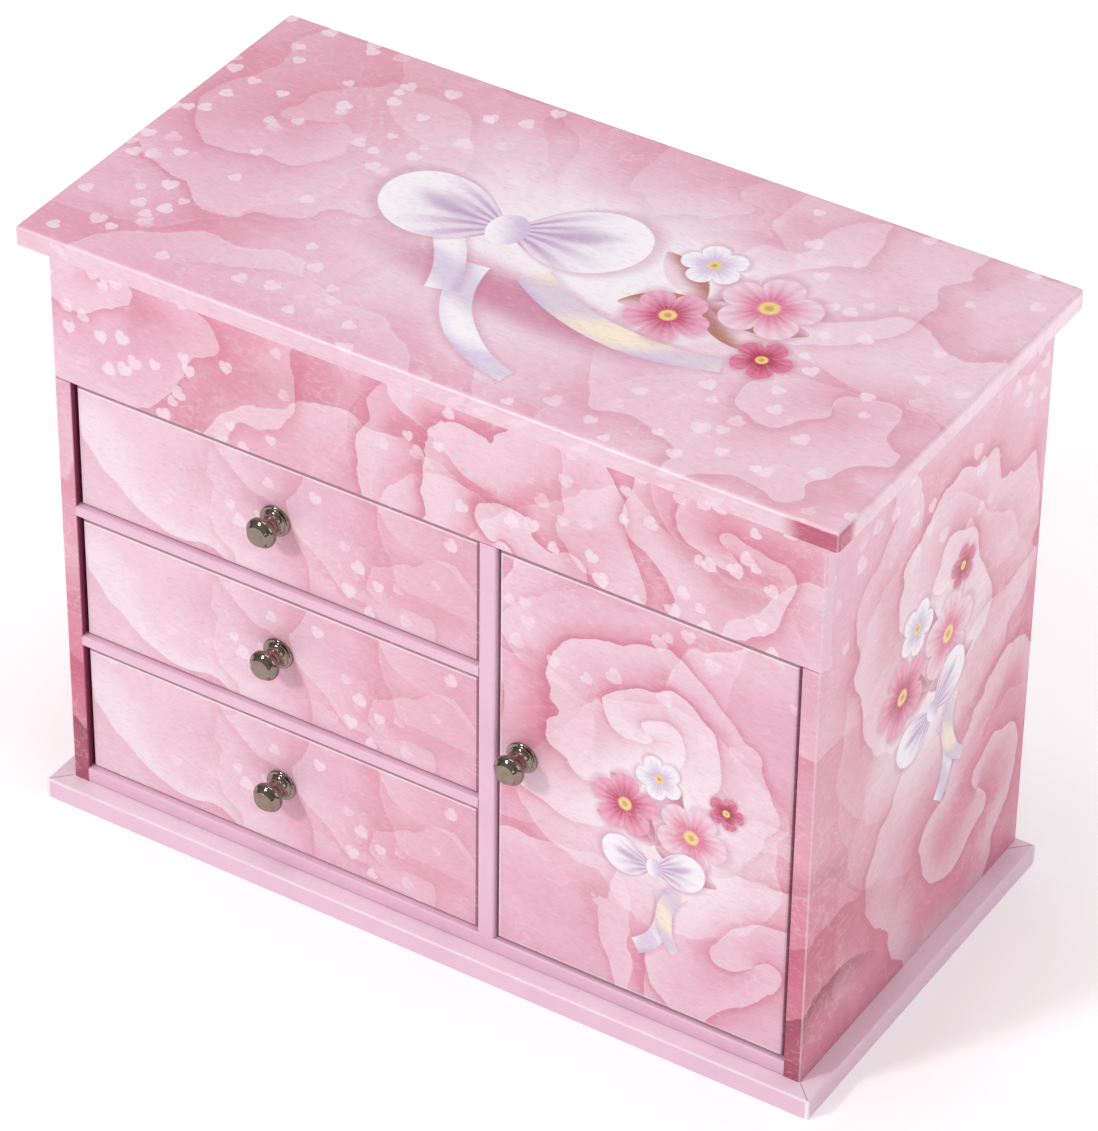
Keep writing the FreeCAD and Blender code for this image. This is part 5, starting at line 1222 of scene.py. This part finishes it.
class ChestPaper(bpy.types.PropertyGroup):
    """Printing inks of the covering paper."""

    # the white ink also paints highlights on the rims of the lid, base, drawers and door and on the
    # front corners
    white: ink("White", "Lightest ink: ribbons and the middle of the halos", 252, 247, 251)
    lilac: ink("Lilac", "Shade on the white ribbons and flowers", 214, 196, 224)
    cream: ink("Cream", "Warm ribbon tails", 250, 236, 214)
    tan: ink("Tan", "Middle of the blossoms", 196, 140, 104)
    pale: ink("Pale pink", "Light rims of the petals", 243, 214, 226)
    pink: ink("Pink", "Ground of the print", 232, 177, 198)
    rose: ink("Rose", "Shaded petals", 221, 132, 158)
    deep: ink("Deep rose", "Deepest shade between petals", 200, 88, 120)
    crimson: ink("Crimson", "Folds at the foot of the corner", 150, 38, 70)
    plain: ink("Plain paper", "Plain paper on edges and insides", 237, 195, 215)
    plain_dark: ink("Plain paper shade", "Mottle of the plain paper", 229, 182, 205)
    # painted shade: this ink darkens the gaps round the drawers and door, and the side boards where they
    # line the openings
    reveal: ink("Reveal", "Paper turned in at the edges of drawers and door", 136, 50, 84)
    base: ink("Base board", "Paper of the base board", 250, 226, 238)


class ChestMetal(bpy.types.PropertyGroup):
    """Finishes of the metal pieces."""

    nickel: ink("Nickel", "Plated knobs", 146, 132, 120)
    nickel_stain: ink("Nickel stain", "Clouding of the plate", 116, 103, 94)
    brass: ink("Brass", "Hinges, hooks, barrel and cylinder", 214, 178, 104)
    brass_stain: ink("Brass stain", "Tarnish of the brass", 168, 124, 62)
    steel: ink("Steel", "Key, arbors, comb and screws", 196, 198, 202)
    zinc: ink("Zinc", "Cast bed of the movement", 168, 170, 174)
    mirror: ink("Mirror", "Silvered glass in the lid", 236, 240, 242)


class ChestVelvet(bpy.types.PropertyGroup):
    """Pile of the tray, the drawers and the ring rolls."""

    pile: ink("Pile", "Colour of the velvet", 219, 122, 158)
    brushed: ink("Brushed pile", "Velvet stroked the other way", 233, 150, 182)
    shoulder: bpy.props.FloatProperty(
        name="Shoulder", description="Round of a lining's edge", default=0.6 * MM, unit="LENGTH"
    )
    ripple: bpy.props.FloatProperty(
        name="Ripple", description="How far a laid lining waves", default=0.1 * MM, unit="LENGTH"
    )


class ChestDancer(bpy.types.PropertyGroup):
    """Paint and dress of the dancer."""

    skin: ink("Skin", "Painted skin", 240, 200, 178)
    hair: ink("Hair", "Painted hair", 122, 78, 48)
    bodice: ink("Bodice", "Painted bodice", 240, 172, 200)
    shoes: ink("Shoes", "Shoes and their laces", 232, 138, 168)
    net: ink("Net", "Net of the skirt", 252, 236, 243)
    skirt_reach: bpy.props.FloatProperty(
        name="Skirt reach", description="Radius of the widest ruffle", default=10.3 * MM, unit="LENGTH"
    )


class ChestStage(bpy.types.PropertyGroup):
    """Camera, floor and light."""

    azimuth: bpy.props.FloatProperty(
        name="Azimuth", description="Turn of the camera round the chest", default=math.radians(31.64),
        subtype="ANGLE",
    )
    elevation: bpy.props.FloatProperty(
        name="Elevation", description="Height of the camera above level", default=math.radians(36.585),
        subtype="ANGLE",
    )
    roll: bpy.props.FloatProperty(
        name="Roll", description="Tilt of the camera about its own axis", default=math.radians(0.856),
        subtype="ANGLE",
    )
    place: bpy.props.FloatVectorProperty(
        name="Place", description="Where the camera stands", default=(0.75195, -1.21211, 1.18159),
        subtype="TRANSLATION", unit="LENGTH",
    )
    focal_pixels: bpy.props.FloatProperty(
        name="Focal length", description="Focal length in pixels of the photograph", default=5557.2
    )
    centre_pixels: bpy.props.FloatVectorProperty(
        name="Optical centre", description="Optical centre in pixels of the photograph", size=2,
        default=(559.86, 527.85),
    )
    floor_glow: bpy.props.FloatProperty(
        name="Floor glow", description="Light from under the white floor", default=0.2
    )
    floor_colour: ink("Floor", "Colour of the floor", 250, 249, 249)


class CHEST_OT_paper(bpy.types.Operator):
    """Print and wrap the boards of the chest."""

    bl_idname = "chest.paper"
    bl_label = "Paper"

    def execute(self, context):
        dress(["lid_board"], lid_print())
        dress(["front_fascia"], fascia_print())
        dress(["door_panel"], door_print())
        dress(["back_panel"], back_print())
        for name in DRAWERS:
            dress([f"{name}_drawer_front"], drawer_print(name))
        for side in ("left", "right"):
            dress([f"{side}_side_panel"], side_print(side))
        dress(["base_board"], base_paper())
        edging = plain_paper("edge_paper", "plain", "plain_dark")
        dress(["floor_panel", "partition_panel", "mirror_frame"], edging)
        dress(["upper_drawer_shelf", "lower_drawer_shelf"], edging)
        lining = plain_paper("lining_paper", linear(232, 180, 204), linear(222, 166, 192), gloss=0.5)
        inner = [f"{name}_drawer_{part}" for name in DRAWERS for part in ("walls", "bottom")]
        dress(["tray_floor", "movement_cover", "necklace_rail"] + inner, lining)
        return {"FINISHED"}


class CHEST_OT_metal(bpy.types.Operator):
    """Plate the knobs, hinges and movement."""

    bl_idname = "chest.metal"
    bl_label = "Metal"

    def execute(self, context):
        look = context.scene.chest_metal
        nickel = metal("knob_nickel", look.nickel, look.nickel_stain, 0.085)
        dress(["door_knob"] + [f"{name}_drawer_knob" for name in DRAWERS], nickel)
        brass = metal("leaf_brass", look.brass, look.brass_stain, 0.26)
        dress(["hinge_back_leaves", "hinge_lid_leaves", "hinge_pins", "necklace_hooks"], brass)
        dress(["tray_bushes", "music_cylinder", "barrel_drum", "barrel_cap"], brass)
        steel = metal("bright_steel", look.steel, darker(look.steel, 0.55), 0.24)
        dress(["door_pivot_pins", "music_comb", "mainspring", "winding_arbor", "winding_key"], steel)
        dress(["cylinder_arbor", "governor_wheel", "governor_fly"], steel)
        dress(["lid_stop_rod", "dancer_spindle"], steel)
        dress(["movement_bed"], metal("zinc_casting", look.zinc, darker(look.zinc, 0.5), 0.46))
        dress(["lid_mirror"], metal("silvered_glass", look.mirror, darker(look.mirror, 0.93), 0.06))
        return {"FINISHED"}


class CHEST_OT_knobs(bpy.types.Operator):
    """Turn the four knobs and the screws that hold them."""

    bl_idname = "chest.knobs"
    bl_label = "Knobs"

    def execute(self, context):
        nickel = bpy.data.materials["knob_nickel"]
        steel = bpy.data.materials["bright_steel"]
        fronts = {f"{name}_drawer": f"{name}_drawer_front" for name in DRAWERS}
        fronts["door"] = "door_panel"
        for body, board in fronts.items():
            front, back = box_mm(board)[0][1], box_mm(board)[1][1]
            x, _, z = middle_mm(f"{body}_knob")
            low, high = box_mm(f"{body}_knob")
            section = knob_section((high[0] - low[0]) / 2, front - low[1])
            knob = turned(section, (x, front, z), AGAINST_Y)
            deep = back - front
            bar = [(0.0, 0.0), (STUD_RADIUS_MM, 0.0), (STUD_RADIUS_MM, deep), (0.0, deep)]
            stud = turned(bar, (x, front, z), ALONG_Y, 24)
            grip = put(f"{body}_grip", [knob, stud], body, nickel)
            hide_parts(f"{body}_knob")
            head = screw_head((x, back, z), ALONG_Y, *KNOB_SCREW_MM)
            put(f"{body}_knob_screw", [head], body, steel)
        return {"FINISHED"}


class CHEST_OT_velvet(bpy.types.Operator):
    """Line the tray and the drawers with velvet, and fill the ring rolls."""

    bl_idname = "chest.velvet"
    bl_label = "Velvet"

    def execute(self, context):
        look = context.scene.chest_velvet
        pile = velvet("velvet_pile", look.pile, look.brushed)
        dress(["tray_dividers"], pile)
        for name in DRAWERS:
            drawer = f"{name}_drawer"
            low, high = box_mm(f"{drawer}_lining")
            pad = laid_pad(low, high, look)
            sheet = lay_velvet(f"{drawer}_velvet", pad, drawer, pile)
            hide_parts(f"{drawer}_lining")
        tray_velvet(pile, look)
        ring_rolls(pile)
        return {"FINISHED"}


class CHEST_OT_dancer(bpy.types.Operator):
    """Model and paint the dancer, and gather the skirt."""

    bl_idname = "chest.dancer"
    bl_label = "Dancer"

    def execute(self, context):
        table = box_mm("turntable")
        foot = np.array([*middle_mm("turntable")[:2], table[1][2]])
        hip = middle_mm("dancer_skirt")[2] + 0.6
        look = context.scene.chest_dancer
        paint = dancer_paint(foot, hip, look)
        grids = dancer_grids(foot, hip - foot[2])
        figure = put("dancer_model", grids, "dancer", paint, crease=FIGURE_CREASE)
        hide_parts("dancer_figure")
        pale, dusky = linear(240, 196, 214), linear(228, 176, 198)
        dress(["turntable"], satin_plastic("turntable_plastic", pale, dusky))
        net = skirt_net(look.net)
        widest = look.skirt_reach / MM
        for tier, (share, waves, drop) in enumerate(RUFFLES):
            reach = widest * share
            waist = hip + 0.5 - RUFFLE_STEP_MM * tier
            grid = skirt_tier(foot, waist, reach, waves, drop, tier)
            name = f"dancer_ruffle_{tier}"
            ruffle = put(name, [grid], "dancer", net, crease=SOFT_CREASE)
            if tier == 0:
                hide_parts("dancer_skirt")
        return {"FINISHED"}


class CHEST_OT_screws(bpy.types.Operator):
    """Drive the screws of the hinges and the movement."""

    bl_idname = "chest.screws"
    bl_label = "Screws"

    def execute(self, context):
        brass = bpy.data.materials["leaf_brass"]
        steel = bpy.data.materials["bright_steel"]
        low, high = box_mm("hinge_back_leaves")
        back = box_mm("back_panel")[1][1] + HINGE_LEAF_MM
        reach = box_mm("hinge_lid_leaves")[0][1] + LID_SCREW_REACH_MM
        under = box_mm("lid_board")[0][2]
        steps = (HINGE_SCREW_INSET_MM, HINGE_LENGTH_MM - HINGE_SCREW_INSET_MM)
        xs = [low[0] + step for step in steps] + [high[0] - step for step in steps]
        rise = low[2] + BACK_SCREW_RISE_MM
        heads = [screw_head((x, back, rise), ALONG_Y, *BACK_SCREW_MM) for x in xs]
        put("hinge_back_screws", heads, "carcass", brass)
        heads = [screw_head((x, reach, under), DOWNWARDS, *LID_SCREW_MM) for x in xs]
        put("hinge_lid_screws", heads, "lid", brass)
        comb_low, comb_high = box_mm("music_comb")
        ends = (comb_low[0] + COMB_SCREW_INSET_MM, comb_high[0] - COMB_SCREW_INSET_MM)
        rise = comb_low[2] + COMB_SCREW_RISE_MM
        heads = [screw_head((x, comb_low[1], rise), AGAINST_Y, *COMB_SCREW_MM) for x in ends]
        bed_low, bed_high = box_mm("movement_bed")
        plate = box_mm("back_panel")[0][1] - BED_PLATE_MM
        x = bed_low[0] + BED_SCREW_INSET_MM
        heights = (bed_low[2] + BED_SCREW_INSET_MM, bed_high[2] - BED_SCREW_INSET_MM)
        heads += [screw_head((x, plate, z), AGAINST_Y, *BED_SCREW_MM) for z in heights]
        put("movement_screws", heads, "carcass", steel)
        return {"FINISHED"}


class CHEST_OT_stage(bpy.types.Operator):
    """Set up the floor, the soft light and the camera."""

    bl_idname = "chest.stage"
    bl_label = "Stage"

    def execute(self, context):
        look = context.scene.chest_stage
        studio_floor(context, look)
        studio_light(context)
        set_camera(context, look)
        return {"FINISHED"}


class CHEST_PT_panel(bpy.types.Panel):
    """Buttons for each part of the chest."""

    bl_label = "Jewellery chest"
    bl_idname = "CHEST_PT_panel"
    bl_space_type = "VIEW_3D"
    bl_region_type = "UI"
    bl_category = "Chest"

    def draw(self, context):
        for operator in OPERATORS:
            self.layout.operator(operator.bl_idname)


OPERATORS = (
    CHEST_OT_paper,
    CHEST_OT_metal,
    CHEST_OT_knobs,
    CHEST_OT_velvet,
    CHEST_OT_dancer,
    CHEST_OT_screws,
    CHEST_OT_stage,
)
GROUPS = {
    "chest_paper": ChestPaper,
    "chest_metal": ChestMetal,
    "chest_velvet": ChestVelvet,
    "chest_dancer": ChestDancer,
    "chest_stage": ChestStage,
}
CLASSES = (*GROUPS.values(), *OPERATORS, CHEST_PT_panel)


def register():
    for cls in CLASSES:
        bpy.utils.register_class(cls)
    for name, group in GROUPS.items():
        setattr(bpy.types.Scene, name, bpy.props.PointerProperty(type=group))


def unregister():
    for name in GROUPS:
        delattr(bpy.types.Scene, name)
    for cls in reversed(CLASSES):
        bpy.utils.unregister_class(cls)


def main():
    register()
    bpy.ops.chest.paper()
    bpy.ops.chest.metal()
    bpy.ops.chest.knobs()
    bpy.ops.chest.velvet()
    bpy.ops.chest.dancer()
    bpy.ops.chest.screws()
    bpy.ops.chest.stage()


if __name__ == "__main__":
    main()
